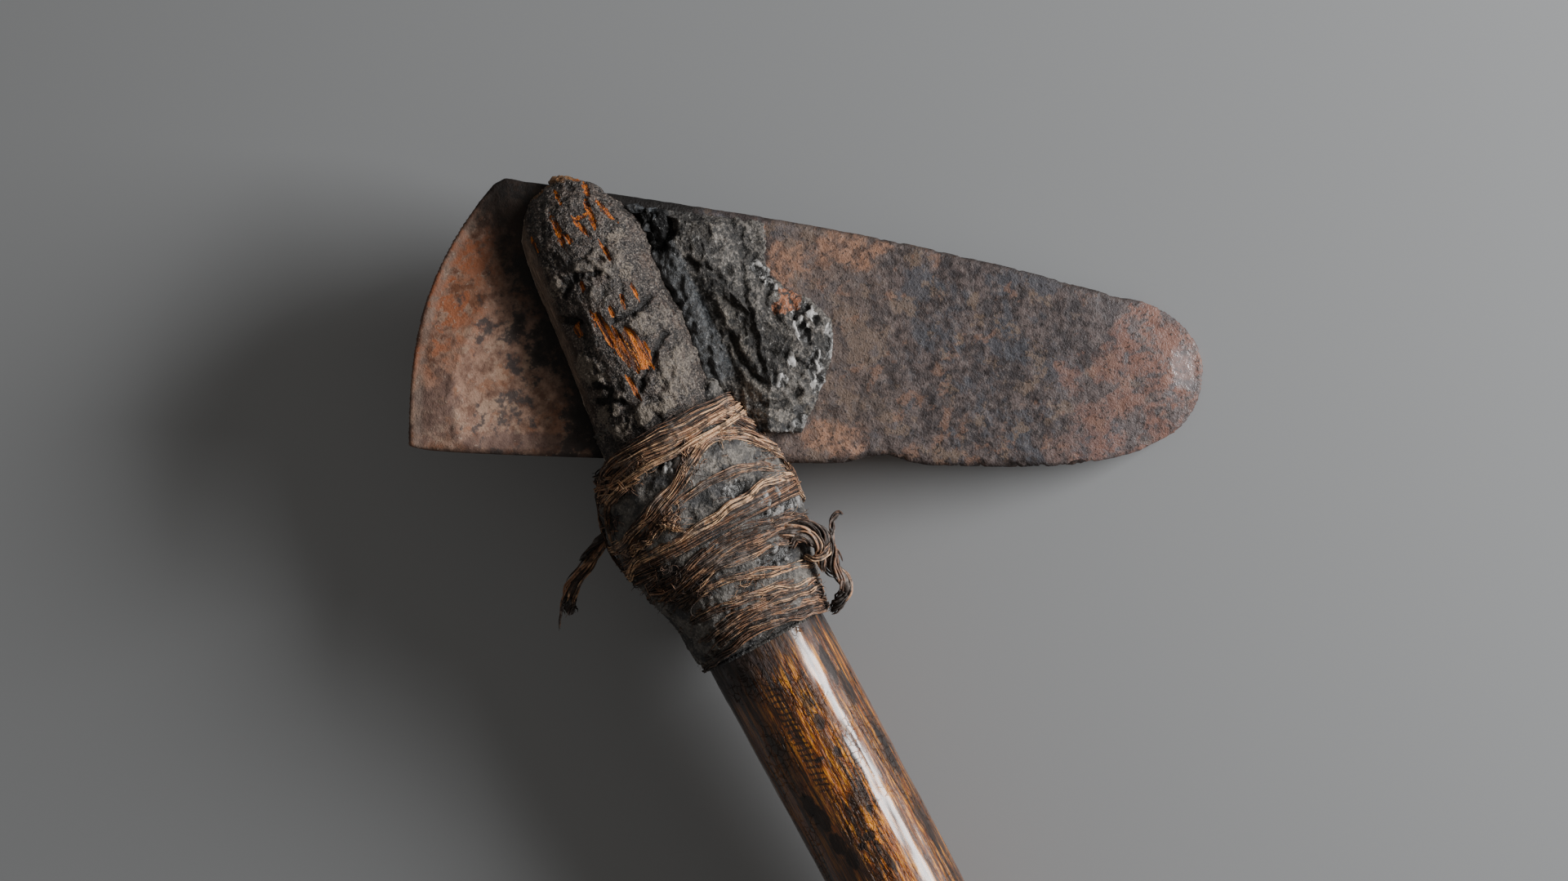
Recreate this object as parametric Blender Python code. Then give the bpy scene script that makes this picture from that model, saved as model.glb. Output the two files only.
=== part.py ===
"""Hatchet with an iron blade in a bent wooden haft, set in resin and bound with plant fibre.

It is drawn standing up: X across the handle, Y along it towards the head, Z out of the blade's
front face, with the blade's middle plane at Z = 0. At the end it is laid down on its back.
"""

import math

import bmesh
import bpy
from mathutils import Matrix, Vector

# Blade, in its own frame: U along the blade from the bit, V up across it
BLADE_LENGTH = 0.1946
BIT_HEIGHT = 0.066
BIT_LEAN = 0.0225
BIT_CURVE = 2.7
TIP_HEIGHT = 0.0194
TIP_LENGTH = 0.020
TIP_RISE = 0.017
TOP_BULGE = 0.0155
BELLY_DEPTH = 0.005
BELLY_END = 0.148
NOTCH_PLACE = 0.116
NOTCH_DEPTH = 0.0026
NOTCH_WIDTH = 0.006
BLADE_THICKNESS = 0.0064
TIP_THICKNESS = 0.0042
EDGE_THICKNESS = 0.0010
RIM_THICKNESS = 0.0040
BIT_BEVEL = 0.014
TIP_BEVEL = 0.010
RIM_BEVEL = 0.0016

# Where the blade sits in the haft
BLADE_TURN = math.radians(28.3)
BLADE_ACROSS = -0.0545
BLADE_ALONG = -0.0043

# Haft
OVERALL_LENGTH = 0.430
HANDLE_RADIUS = 0.0155
HANDLE_WAIST = 0.0146
BUTT_CHAMFER = 0.0015
LEG_HALF_WIDTH = 0.0161
LEG_SHIFT = 0.0062
LEG_REACH = 0.0183
STRAP_CENTRE = 0.01185
STRAP_HALF_WIDTH = 0.00565
STRAP_WALL = 0.0036
STRAP_RISE = 0.0033
HAFT_SIDES = 26

# Resin
CORE_TOP = -0.026
CORE_BOTTOM = -0.0875
CORE_SWELL_RIGHT = 0.0074
CORE_SWELL_LEFT = 0.0050
CORE_SWELL_DEPTH = 0.0034
CORE_SKIN = 0.0013
LUMP_REACH = 0.0875
LUMP_BULGE = 0.0165
LUMP_FOOT = 0.008
LUMP_LOW = 0.0034
LUMP_BELOW_EDGE = 0.0070
LUMP_HIGH = BIT_HEIGHT - LUMP_BELOW_EDGE
LUMP_LAP = 0.0043
LUMP_RIDGE = 0.0062
LUMP_VALLEY = 0.0022
LUMP_SHOULDER = 0.0044
LUMP_RIM = 0.0014
LUMP_MARGIN = 0.0012
BACK_LUMP_SHARE = 0.85

# Binding
STRAND_WIDTH = 0.0045
STRAND_THICKNESS = 0.0015
STRAND_CLEAR = 0.0003
STRAND_LIFT = 0.00035
STRAND_STEPS = 32
TAIL_RADIUS = 0.0026
FRAY_HALF_WIDTH = 0.0022

# Clearance between neighbouring pieces
GAP = 0.0003

# Points nearer than this after a cut are one point
MERGE = 0.00003

# Weights for finding how it lies, in kilograms for each cubic metre
IRON, TIMBER, GUM, FIBRE = 7200, 600, 1100, 300


def smooth(low, high, value):
    """0 below low, 1 above high, and an even curve between."""
    t = min(1.0, max(0.0, (value - low) / (high - low)))
    return t * t * (3 - 2 * t)


def add_object(name, verts, faces, helper=False):
    mesh = bpy.data.meshes.new(name)
    mesh.from_pydata(verts, [], faces)
    mesh.update()
    obj = bpy.data.objects.new(name, mesh)
    bpy.context.scene.collection.objects.link(obj)
    facing = bmesh.new()
    facing.from_mesh(mesh)
    bmesh.ops.recalc_face_normals(facing, faces=facing.faces)
    facing.to_mesh(mesh)
    facing.free()
    if helper:
        obj.hide_render = True
        obj.display_type = "WIRE"
    return obj


def loft(name, rings, helper=False):
    """A closed solid through rings of the same number of points, with a flat or pointed end."""
    count = len(rings[0])
    verts = [point for ring in rings for point in ring]
    faces = []
    for k in range(len(rings) - 1):
        for i in range(count):
            j = (i + 1) % count
            a, b = k * count, (k + 1) * count
            faces.append((a + i, a + j, b + j, b + i))
    faces.append(tuple(reversed(range(count))))
    faces.append(tuple((len(rings) - 1) * count + i for i in range(count)))
    return add_object(name, verts, faces, helper)


def combine(target, tool, operation, solver="EXACT"):
    """One Boolean, applied at once, so that the tool can go."""
    modifier = target.modifiers.new(operation, "BOOLEAN")
    modifier.operation = operation
    modifier.solver = solver
    modifier.object = tool
    bpy.context.view_layer.update()
    evaluated = target.evaluated_get(bpy.context.evaluated_depsgraph_get())
    mesh = bpy.data.meshes.new_from_object(evaluated)
    target.modifiers.clear()
    target.data = mesh


def remove(obj):
    bpy.data.objects.remove(obj, do_unlink=True)


def drop_crumbs(obj):
    """Keeps the largest body of a mesh, without the crumbs and slivers that cuts leave."""
    mesh = bmesh.new()
    mesh.from_mesh(obj.data)
    left, bodies = set(mesh.verts), []
    while left:
        body, border = set(), [left.pop()]
        while border:
            vert = border.pop()
            body.add(vert)
            for edge in vert.link_edges:
                other = edge.other_vert(vert)
                if other in left:
                    left.discard(other)
                    border.append(other)
        bodies.append(body)
    bodies.sort(key=len)
    for body in bodies[:-1]:
        bmesh.ops.delete(mesh, geom=list(body), context="VERTS")
    bmesh.ops.remove_doubles(mesh, verts=mesh.verts, dist=MERGE)
    bmesh.ops.dissolve_degenerate(mesh, edges=mesh.edges, dist=MERGE)
    mesh.to_mesh(obj.data)
    mesh.free()


# Blade


def top_edge(u):
    """Height of the upper edge at U."""
    first, last = BIT_LEAN, BLADE_LENGTH - TIP_LENGTH
    s = min(1.0, max(0.0, (u - first) / (last - first)))
    straight = BIT_HEIGHT + (TIP_HEIGHT + TIP_RISE - BIT_HEIGHT) * s
    return straight + TOP_BULGE * s**1.4 * (1 - s)


def bottom_edge(u):
    """Height of the lower edge at U, as far as the tip's curve."""
    belly = -BELLY_DEPTH * math.sqrt(min(1.0, u / BELLY_END))
    return belly + NOTCH_DEPTH * math.exp(-(((u - NOTCH_PLACE) / NOTCH_WIDTH) ** 2))


def blade_outline():
    """Points round the plate seen from the front, clockwise from the lower corner of the bit."""
    points = []
    for k in range(15):
        t = k / 14 * 0.975
        points.append((BIT_LEAN * t**BIT_CURVE, BIT_HEIGHT * t))
    last = BLADE_LENGTH - TIP_LENGTH
    for k in range(18):
        u = BIT_LEAN + 0.0012 + (last - BIT_LEAN - 0.0012) * k / 17
        points.append((u, top_edge(u)))
    for k in range(1, 11):
        angle = math.pi / 2 * k / 10
        points.append(
            (
                last + TIP_LENGTH * math.sin(angle) ** (2 / 1.8),
                TIP_HEIGHT + TIP_RISE * abs(math.cos(angle)) ** (2 / 1.8),
            )
        )
    drop = TIP_HEIGHT - bottom_edge(BELLY_END)
    for k in range(1, 14):
        angle = math.pi / 2 * k / 13
        points.append(
            (
                BELLY_END + (BLADE_LENGTH - BELLY_END) * abs(math.cos(angle)) ** 0.8,
                TIP_HEIGHT - drop * math.sin(angle) ** 0.8,
            )
        )
    for k in range(1, 29):
        u = BELLY_END * (1 - k / 29)
        points.append((u, bottom_edge(u)))
    return points


def spine_point(u, v):
    """Nearest point to (u, v) on the line along the middle of the plate."""
    start = Vector((0.45 * BIT_HEIGHT, 0.47 * BIT_HEIGHT))
    end = Vector((BLADE_LENGTH - TIP_LENGTH, 0.8 * TIP_HEIGHT))
    along = end - start
    share = (Vector((u, v)) - start).dot(along) / along.dot(along)
    return start + along * min(1.0, max(0.0, share))


def to_haft(u, v, z):
    """A point of the blade's frame in the haft's frame."""
    c, s = math.cos(BLADE_TURN), math.sin(BLADE_TURN)
    return (BLADE_ACROSS + u * c + v * s, BLADE_ALONG - u * s + v * c, z)


def face_height(u):
    """Half the plate's thickness at U, away from its edges."""
    share = u / BLADE_LENGTH
    return (BLADE_THICKNESS + (TIP_THICKNESS - BLADE_THICKNESS) * share) / 2


def blade_rings(gap):
    """Four loops over the plate's edge: front face, front rim, back rim, back face."""
    face, rim = [], []
    for u, v in blade_outline():
        near_bit = 1 - smooth(0.6 * BIT_LEAN, 1.6 * BIT_LEAN, u)
        near_tip = smooth(BLADE_LENGTH - 2 * TIP_LENGTH, BLADE_LENGTH - 0.5 * TIP_LENGTH, u)
        if v < 0.001:
            near_bit *= smooth(0, BIT_BEVEL, BIT_BEVEL - u)
        thin = max(near_bit, near_tip)
        bevel = RIM_BEVEL + (BIT_BEVEL - RIM_BEVEL) * near_bit
        bevel += (TIP_BEVEL - RIM_BEVEL) * near_tip
        half_rim = (RIM_THICKNESS + (EDGE_THICKNESS - RIM_THICKNESS) * thin) / 2
        point = Vector((u, v))
        inward = spine_point(u, v) - point
        inward.normalize()
        outer = point - inward * gap
        inner = point + inward * (bevel - gap)
        rim.append((outer, half_rim + gap))
        face.append((inner, face_height(inner[0]) + gap))
    return face, rim


def blade_solid(name, gap=0.0, helper=False):
    face, rim = blade_rings(gap)
    rings = []
    for loop, side in ((face, 1), (rim, 1), (rim, -1), (face, -1)):
        rings.append([to_haft(p[0], p[1], side * half) for p, half in loop])
    return loft(name, rings, helper)


# Haft


def edge_line(x):
    """Where the blade's upper edge crosses the haft at X."""
    u = 0.5 * (BIT_LEAN + BIT_HEIGHT)
    for _ in range(12):
        at = to_haft(u, top_edge(u), 0)
        u += (x - at[0]) / math.cos(BLADE_TURN)
    return to_haft(u, top_edge(u), 0)[1]


def edge_slope():
    step = 0.002
    return (edge_line(STRAP_CENTRE + step) - edge_line(STRAP_CENTRE - step)) / (2 * step)


def haft_section(y):
    """Centre across, half width, half depth and slant of the haft at Y."""
    top = edge_line(STRAP_CENTRE)
    below = max(0.0, top - y)
    narrowing = LEG_HALF_WIDTH - STRAP_HALF_WIDTH
    width = LEG_HALF_WIDTH - narrowing * (
        0.72 * math.exp(-below / 0.005) + 0.28 * math.exp(-below / 0.032)
    )
    strap_depth = BLADE_THICKNESS / 2 + GAP + STRAP_WALL
    depth = LEG_REACH - (LEG_REACH - strap_depth) * (
        0.72 * math.exp(-below / 0.009) + 0.28 * math.exp(-below / 0.028)
    )
    merge = smooth(-0.036, -0.090, y)
    grip = HANDLE_RADIUS + (HANDLE_WAIST - HANDLE_RADIUS) * smooth(-0.10, -0.22, y)
    grip += (HANDLE_RADIUS - HANDLE_WAIST) * smooth(-0.28, -0.385, y)
    width += (grip - width) * merge
    depth += (grip - depth) * merge
    centre = LEG_SHIFT * smooth(-0.055, 0.012, y)
    centre += (STRAP_CENTRE - LEG_SHIFT) * smooth(0.012, top, y)
    slant = edge_slope() * smooth(-0.030, 0.026, y)
    return centre, width, depth, slant


def haft_ring(y, centre, width, depth, slant, fullness=2.25):
    ring = []
    for k in range(HAFT_SIDES):
        angle = 2 * math.pi * k / HAFT_SIDES
        c, s = math.cos(angle), math.sin(angle)
        across = width * math.copysign(abs(c) ** (2 / fullness), c)
        out = depth * math.copysign(abs(s) ** (2 / fullness), s)
        ring.append((centre + across, y + slant * across, out))
    return ring


def haft_envelope(name, gap=0.0, helper=False):
    """The haft without the slot for the blade, from butt to strap."""
    top = edge_line(STRAP_CENTRE)
    butt = top + STRAP_RISE - OVERALL_LENGTH
    rings = []
    heights = [butt + BUTT_CHAMFER, butt + 0.06, -0.30, -0.25, -0.20, -0.15, -0.11]
    heights += [-0.092, -0.078, -0.065, -0.052, -0.040, -0.028, -0.015, -0.002]
    heights += [0.009, 0.017, 0.0225, 0.0265, 0.0295, top]
    first = haft_section(butt)
    shrink = BUTT_CHAMFER - gap
    rings.append(haft_ring(butt - gap, 0, first[1] - shrink, first[2] - shrink, 0, 2.0))
    for y in heights:
        centre, width, depth, slant = haft_section(y)
        fullness = 2.0 + 0.25 * smooth(-0.09, -0.04, y)
        rings.append(haft_ring(y, centre, width + gap, depth + gap, slant, fullness))
    centre, width, depth, slant = haft_section(top)
    for rise, share in ((0.45, 0.88), (0.8, 0.62), (1.0, 0.28)):
        y = top + STRAP_RISE * rise + gap * rise
        rings.append(haft_ring(y, centre, (width + gap) * share, (depth + gap) * share, slant))
    return loft(name, rings, helper)


def haft():
    wood = haft_envelope("haft")
    slot = blade_solid("blade slot", GAP, helper=True)
    combine(wood, slot, "DIFFERENCE")
    remove(slot)
    return wood


# Resin


def arch(t):
    """0 at both ends and 1 half way."""
    return max(0.0, math.sin(math.pi * t))


def core_section(y):
    """Centre, left reach, right reach and depth of the swelling at Y."""
    centre, width, depth, _ = haft_section(y)
    t = (y - CORE_BOTTOM) / (CORE_TOP - CORE_BOTTOM)
    t = min(1.0, max(0.0, t))
    left = width + CORE_SKIN + CORE_SWELL_LEFT * arch(t**1.35) ** 2.2
    right = width + CORE_SKIN + CORE_SWELL_RIGHT * arch(t**1.15) ** 1.45
    return centre, left, right, depth + CORE_SKIN + CORE_SWELL_DEPTH * arch(t)


def core_point(y, angle, out=0.0):
    """A point of the swelling's surface, moved outwards."""
    centre, left, right, depth = core_section(y)
    c, s = math.cos(angle), math.sin(angle)
    reach = right if c > 0 else left
    full = 2 / 2.2
    x = centre + (reach + out) * math.copysign(abs(c) ** full, c)
    z = (depth + out) * math.copysign(abs(s) ** full, s)
    return (x, y, z)


def core_solid(name, gap=0.0, helper=False):
    rings = []
    steps = 12
    for k in range(steps + 1):
        share = 0.5 - 0.5 * math.cos(math.pi * k / steps)
        y = CORE_BOTTOM + (CORE_TOP - CORE_BOTTOM) * share
        stretch = -gap if k == 0 else gap if k == steps else 0.0
        ring = [core_point(y, 2 * math.pi * i / 32, gap) for i in range(32)]
        rings.append([(x, along + stretch, z) for x, along, z in ring])
    return loft(name, rings, helper)


def lump_reach(v):
    """How far right the lump reaches at height V of the blade."""
    share = v / LUMP_HIGH
    return LUMP_REACH + LUMP_BULGE * smooth(0.746, 0.508, share) - LUMP_FOOT * smooth(0.407, 0, share)


def leg_side(v):
    """Where the leg's right side crosses the blade's face at height V."""
    across = LEG_SHIFT + LEG_HALF_WIDTH - LUMP_LAP - BLADE_ACROSS
    return (across - v * math.sin(BLADE_TURN)) / math.cos(BLADE_TURN)


def lump_solid(name, side, gap=0.0, helper=False):
    """Resin heaped on one face of the blade beside the leg, in rings across the blade."""
    share = 1.0 if side > 0 else BACK_LUMP_SHARE
    rings = []
    steps = 13
    for k in range(steps):
        v = LUMP_LOW + (LUMP_HIGH - LUMP_LOW) * k / (steps - 1)
        leg = leg_side(v)
        low = leg - 0.006
        reach = lump_reach(v)
        while top_edge(reach) - LUMP_MARGIN < v and reach > leg + 0.006:
            reach -= 0.0005
        reach += gap
        wide = reach - leg
        fade = smooth(1.025, 0.881, v / LUMP_HIGH) * 0.6 + 0.4
        shiny = math.exp(-(((v / LUMP_HIGH - 0.373) / 0.237) ** 2))
        crest = LUMP_RIDGE * share * fade
        shoulder = (LUMP_RIM + (LUMP_SHOULDER - LUMP_RIM) * shiny) * share
        profile = [
            (low, 0.0),
            (low, LUMP_VALLEY * share),
            (leg + 0.10 * wide, LUMP_VALLEY * share),
            (leg + 0.34 * wide, 0.8 * crest),
            (leg + 0.52 * wide, crest),
            (leg + 0.70 * wide, 0.55 * crest + 0.35 * shoulder),
            (leg + 0.90 * wide, shoulder),
            (reach, 0.0),
        ]
        end = -gap if k == 0 else gap if k == steps - 1 else 0.0
        ring = []
        for n, (u, height) in enumerate(profile):
            base = face_height(u) + gap if 0 < n < len(profile) - 1 else 0.0
            rim = face_height(u) + GAP + LUMP_RIM * 0.6 if n == len(profile) - 1 else 0.0
            ring.append(to_haft(u, v + end, side * (height + base + rim)))
        ring.append(to_haft(reach, v + end, 0.0))
        rings.append(ring)
    return loft(name, rings, helper)


def resin():
    mass = core_solid("resin")
    for side in (1, -1):
        lump = lump_solid("resin lump", side, helper=True)
        combine(mass, lump, "UNION")
        remove(lump)
    for cutter in (
        haft_envelope("room for haft", GAP, helper=True),
        blade_solid("room for blade", GAP, helper=True),
    ):
        combine(mass, cutter, "DIFFERENCE")
        remove(cutter)
    drop_crumbs(mass)
    return mass


# Binding


def by_core(across, along, out):
    """A point given in lengths of the swelling, from the middle of its top."""
    span = CORE_TOP - CORE_BOTTOM
    return (across * span, CORE_TOP + along * span, out * span)


def turn_height(angle, heights):
    """Drop of a turn at this angle, from its drops at right, front, left and back."""
    right, front, left, back = heights
    c, s = math.cos(angle), math.sin(angle)
    side = right if c > 0 else left
    face = front if s > 0 else back
    steep = 2.4 + 10.46 * abs(side - face) if c > 0 else 2.4
    return face + (side - face) * abs(c) ** steep


def turn(heights, width, lift):
    """One closed turn of fibre strip lying on the swelling, lifted over its neighbours."""
    sections = []
    for k in range(STRAND_STEPS):
        angle = 2 * math.pi * k / STRAND_STEPS
        y = by_core(0, -turn_height(angle, heights), 0)[1]
        section = []
        for across, out in ((-1, 0), (-0.6, 1), (0.6, 1), (1, 0)):
            height = GAP + STRAND_CLEAR + lift + STRAND_THICKNESS * out
            section.append(core_point(y + across * width / 2, angle, height))
        sections.append(section)
    return ring_of_sections("turn", sections)


def ring_of_sections(name, sections):
    """A closed hoop through its cross-sections."""
    count, sides = len(sections), len(sections[0])
    verts = [point for section in sections for point in section]
    faces = []
    for k in range(count):
        n = (k + 1) % count
        for i in range(sides):
            j = (i + 1) % sides
            faces.append((k * sides + i, k * sides + j, n * sides + j, n * sides + i))
    return add_object(name, verts, faces, helper=True)


def rope(name, points, radii, flat=1.0, sides=7):
    """A tapering round or flattened cord end through its points."""
    rings = []
    for k, point in enumerate(points):
        before, after = points[max(0, k - 1)], points[min(len(points) - 1, k + 1)]
        along = (Vector(after) - Vector(before)).normalized()
        across = along.cross(Vector((0, 0, 1))).normalized()
        out = across.cross(along).normalized()
        ring = []
        for i in range(sides):
            angle = 2 * math.pi * i / sides
            offset = across * math.cos(angle) + out * math.sin(angle) * flat
            ring.append(tuple(Vector(point) + offset * radii[k]))
        rings.append(ring)
    return loft(name, rings, helper=True)


def knot_and_tail():
    """The knot on the right and the twisted end that hangs from it."""
    points = [
        by_core(0.244, -0.634, 0.244),
        by_core(0.293, -0.683, 0.208),
        by_core(0.341, -0.743, 0.176),
        by_core(0.371, -0.816, 0.150),
        by_core(0.390, -0.898, 0.130),
        by_core(0.390, -0.956, 0.122),
        by_core(0.358, -1.002, 0.114),
        by_core(0.309, -1.021, 0.106),
    ]
    radii = [TAIL_RADIUS * k for k in (0.9, 1.2, 1.25, 1.05, 0.95, 0.9, 0.8, 0.6)]
    return rope("tail", points, radii)


def frayed_end():
    """The loose strip end on the left."""
    points = [
        by_core(-0.325, -0.293, 0.008),
        by_core(-0.398, -0.350, 0.000),
        by_core(-0.520, -0.447, -0.016),
        by_core(-0.602, -0.488, -0.024),
        by_core(-0.650, -0.553, -0.024),
    ]
    radii = [FRAY_HALF_WIDTH * k for k in (0.9, 1.0, 0.9, 1.05, 0.8)]
    return rope("frayed end", points, radii, flat=0.55, sides=6)


def binding():
    turns = [
        ((0.520, 0.081, 0.122, 0.130), 1.33),
        ((0.553, 0.187, 0.187, 0.228), 1.00),
        ((0.585, 0.341, 0.260, 0.325), 1.00),
        ((0.618, 0.390, 0.358, 0.423), 0.89),
        ((0.650, 0.475, 0.488, 0.504), 0.89),
        ((0.691, 0.569, 0.553, 0.585), 1.07),
        ((0.740, 0.642, 0.618, 0.650), 1.00),
        ((0.797, 0.715, 0.699, 0.732), 1.00),
        ((0.846, 0.805, 0.764, 0.829), 1.00),
        ((0.902, 0.894, 0.846, 0.911), 1.07),
        ((0.959, 0.959, 0.935, 0.959), 0.89),
    ]
    strips = []
    for n, (heights, width) in enumerate(turns):
        strips.append(turn(heights, STRAND_WIDTH * width, STRAND_LIFT * (n % 3)))
    strips += [knot_and_tail(), frayed_end()]
    # The EXACT solver leaves open edges where so many strips cross.
    wound = strips[0]
    for strip in strips[1:]:
        combine(wound, strip, "UNION", "MANIFOLD")
        remove(strip)
    cutters = [
        core_solid("room for core", GAP, helper=True),
        haft_envelope("room for haft", GAP, helper=True),
        blade_solid("room for blade", GAP, helper=True),
        lump_solid("room for front lump", 1, GAP, helper=True),
        lump_solid("room for back lump", -1, GAP, helper=True),
    ]
    for cutter in cutters:
        combine(wound, cutter, "DIFFERENCE", "MANIFOLD")
        remove(cutter)
    drop_crumbs(wound)
    wound.name = "binding"
    wound.hide_render = False
    wound.display_type = "TEXTURED"
    return wound


# How it lies


def solid_weight(obj, density):
    """Mass and centre of mass of a closed mesh."""
    mesh = obj.data
    mesh.calc_loop_triangles()
    total, moment = 0.0, Vector()
    for triangle in mesh.loop_triangles:
        a, b, c = (mesh.vertices[i].co for i in triangle.vertices)
        volume = a.dot(b.cross(c)) / 6
        total += volume
        moment += volume * (a + b + c) / 4
    return total * density, moment / total


def lay_down(pieces):
    """Turns everything onto the face of its hull that lies under the centre of mass, back down."""
    mass, moment = 0.0, Vector()
    hull = bmesh.new()
    for obj, density in pieces:
        weight, centre = solid_weight(obj, density)
        mass += weight
        moment += weight * centre
        for vertex in obj.data.vertices:
            hull.verts.new(vertex.co)
    balance = moment / mass
    bmesh.ops.convex_hull(hull, input=hull.verts)
    turn_by = Matrix.Identity(4)
    down = Vector((0, 0, -1))
    for _ in range(8):
        hit = None
        for face in hull.faces:
            if face.normal.dot(down) < 0.2:
                continue
            share = (face.verts[0].co - balance).dot(face.normal) / down.dot(face.normal)
            point = balance + down * share
            if inside(point, face):
                hit = face
                break
        if hit is None or hit.normal.dot(down) > 0.9999999:
            break
        down = hit.normal.copy()
    axis = down.cross(Vector((0, 0, -1)))
    turn_by = Matrix.Rotation(down.angle(Vector((0, 0, -1))), 4, axis)
    hull.free()
    lows = [Vector((9, 9, 9)), Vector((-9, -9, -9))]
    for obj, _ in pieces:
        for vertex in obj.data.vertices:
            at = turn_by @ vertex.co
            lows[0] = Vector(map(min, lows[0], at))
            lows[1] = Vector(map(max, lows[1], at))
    middle = (lows[0] + lows[1]) / 2
    place = Matrix.Translation((-middle.x, -middle.y, -lows[0].z)) @ turn_by
    rest = bpy.data.objects.new("hatchet lying on its back", None)
    bpy.context.scene.collection.objects.link(rest)
    rest.matrix_world = place
    for obj, _ in pieces:
        obj.parent = rest
    euler = place.to_euler()
    print("lies turned by", [round(math.degrees(a), 4) for a in euler], "degrees")
    print("lies moved by", [round(v, 6) for v in place.translation], "m")
    print("weighs", round(mass, 3), "kg, balances at", [round(v, 4) for v in balance])
    butt = place @ Vector((0, edge_line(STRAP_CENTRE) + STRAP_RISE - OVERALL_LENGTH, 0))
    print("butt end at", [round(v, 6) for v in butt])
    print("butt end faces", [round(v, 6) for v in place.to_3x3() @ Vector((0, -1, 0))])
    return place


def inside(point, face):
    """Whether a point of a hull face's plane is within the face."""
    corners = [v.co for v in face.verts]
    for k, corner in enumerate(corners):
        following = corners[(k + 1) % len(corners)]
        if (following - corner).cross(point - corner).dot(face.normal) < -1e-12:
            return False
    return True


def main():
    for obj in list(bpy.data.objects):
        remove(obj)
    iron = blade_solid("blade")
    wood = haft()
    gum = resin()
    fibre = binding()
    lay_down([(iron, IRON), (wood, TIMBER), (gum, GUM), (fibre, FIBRE)])


main()
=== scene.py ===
# %% [markdown]
# # An old hatchet, dressed
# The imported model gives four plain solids: an iron blade, a wooden haft, the resin that fixes them,
# and the fibre that binds them. This lesson gives each one its real surface. The haft is a sapling
# bent over the blade, so the hatchet is easiest to shape standing up, with X across the handle, Y
# along it towards the head, and Z out of the blade's face. Each piece is shaped there and laid down
# at the end, with the same turn and move that the solids have.

import math
import random

import bpy
import numpy as np
from mathutils import Euler, Matrix, Vector, noise


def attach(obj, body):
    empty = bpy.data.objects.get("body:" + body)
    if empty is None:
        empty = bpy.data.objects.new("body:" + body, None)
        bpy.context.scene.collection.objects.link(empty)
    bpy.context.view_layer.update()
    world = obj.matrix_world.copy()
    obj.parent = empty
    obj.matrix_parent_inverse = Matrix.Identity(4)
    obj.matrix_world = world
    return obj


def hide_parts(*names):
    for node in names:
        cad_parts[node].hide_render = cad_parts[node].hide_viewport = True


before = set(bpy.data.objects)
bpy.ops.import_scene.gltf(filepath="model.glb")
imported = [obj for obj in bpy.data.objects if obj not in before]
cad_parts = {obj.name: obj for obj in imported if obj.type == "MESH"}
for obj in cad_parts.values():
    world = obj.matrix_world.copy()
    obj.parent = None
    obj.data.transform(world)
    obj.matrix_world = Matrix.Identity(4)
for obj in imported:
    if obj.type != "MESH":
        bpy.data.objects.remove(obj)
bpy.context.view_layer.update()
MM = 0.001
LAID_TURN = [math.radians(a) for a in (1.6456, 10.8493, 0.1563)]
LAID_MOVE = (-0.035632, 0.176478, 0.026559)
LAID = Matrix.Translation(LAID_MOVE) @ Euler(LAID_TURN).to_matrix().to_4x4()
UPRIGHT = LAID.inverted()
LEAN = math.radians(28.3)  # between the handle and the picture's upright, and so the blade's turn

# %% [markdown]
# ## Helpers for shaping
# A scanned or sculpted antique has a dense, even skin, on which dents and crusts can be raised. The
# way to get one from a plain solid is Remesh in voxel mode, and then one Displace modifier that raises
# a painted area and one that sinks another. The areas are painted in code: every point gets a weight
# from its place. The same weight is kept as an attribute, so that the material's colour falls exactly
# on the raised shape.

# %% Selecting, copying and applying
def select_only(piece):
    bpy.ops.object.select_all(action="DESELECT")
    bpy.context.view_layer.objects.active = piece
    piece.select_set(True)


def solid_copy(node, name):
    """A merged copy of a solid, stood upright."""
    piece = bpy.data.objects.new(name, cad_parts[node].data.copy())
    bpy.context.scene.collection.objects.link(piece)
    select_only(piece)
    bpy.ops.object.mode_set(mode="EDIT")
    bpy.ops.mesh.select_all(action="SELECT")
    bpy.ops.mesh.remove_doubles(threshold=0.000002)
    bpy.ops.object.mode_set(mode="OBJECT")
    piece.data.transform(UPRIGHT)
    piece.data.materials.clear()
    return piece


def apply_modifier(piece, kind, **settings):
    """Adds one modifier with these settings and applies it."""
    modifier = piece.modifiers.new(kind.lower(), kind)
    for key, value in settings.items():
        setattr(modifier, key, value)
    select_only(piece)
    bpy.ops.object.modifier_apply(modifier=modifier.name)


def fine_skin(piece, size):
    """Gives the piece an even skin of faces this many mm across."""
    apply_modifier(piece, "REMESH", mode="VOXEL", voxel_size=size * MM)


def points_of(piece):
    points = np.empty(len(piece.data.vertices) * 3, np.float32)
    piece.data.vertices.foreach_get("co", points)
    return points.reshape(-1, 3).astype(float)


def normals_of(piece):
    normals = np.empty(len(piece.data.vertices) * 3, np.float32)
    piece.data.vertex_normals.foreach_get("vector", normals)
    return normals.reshape(-1, 3).astype(float)


# %% Painting areas and raising them
def step(low, high, value):
    """0 at low, 1 at high, and an even curve between, for one number or many."""
    t = np.clip((np.asarray(value, float) - low) / (high - low), 0, 1)
    return t * t * (3 - 2 * t)


def grain(points, size, octaves=3, seed=0.0):
    """Fractal noise from about -1 to 1 at each point. Size is in mm, one number or one for each axis."""
    scaled = points / (np.asarray(size, float) * MM) + seed
    return np.array([noise.fractal(p, 1.0, 2.0, octaves) for p in scaled.tolist()])


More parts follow.
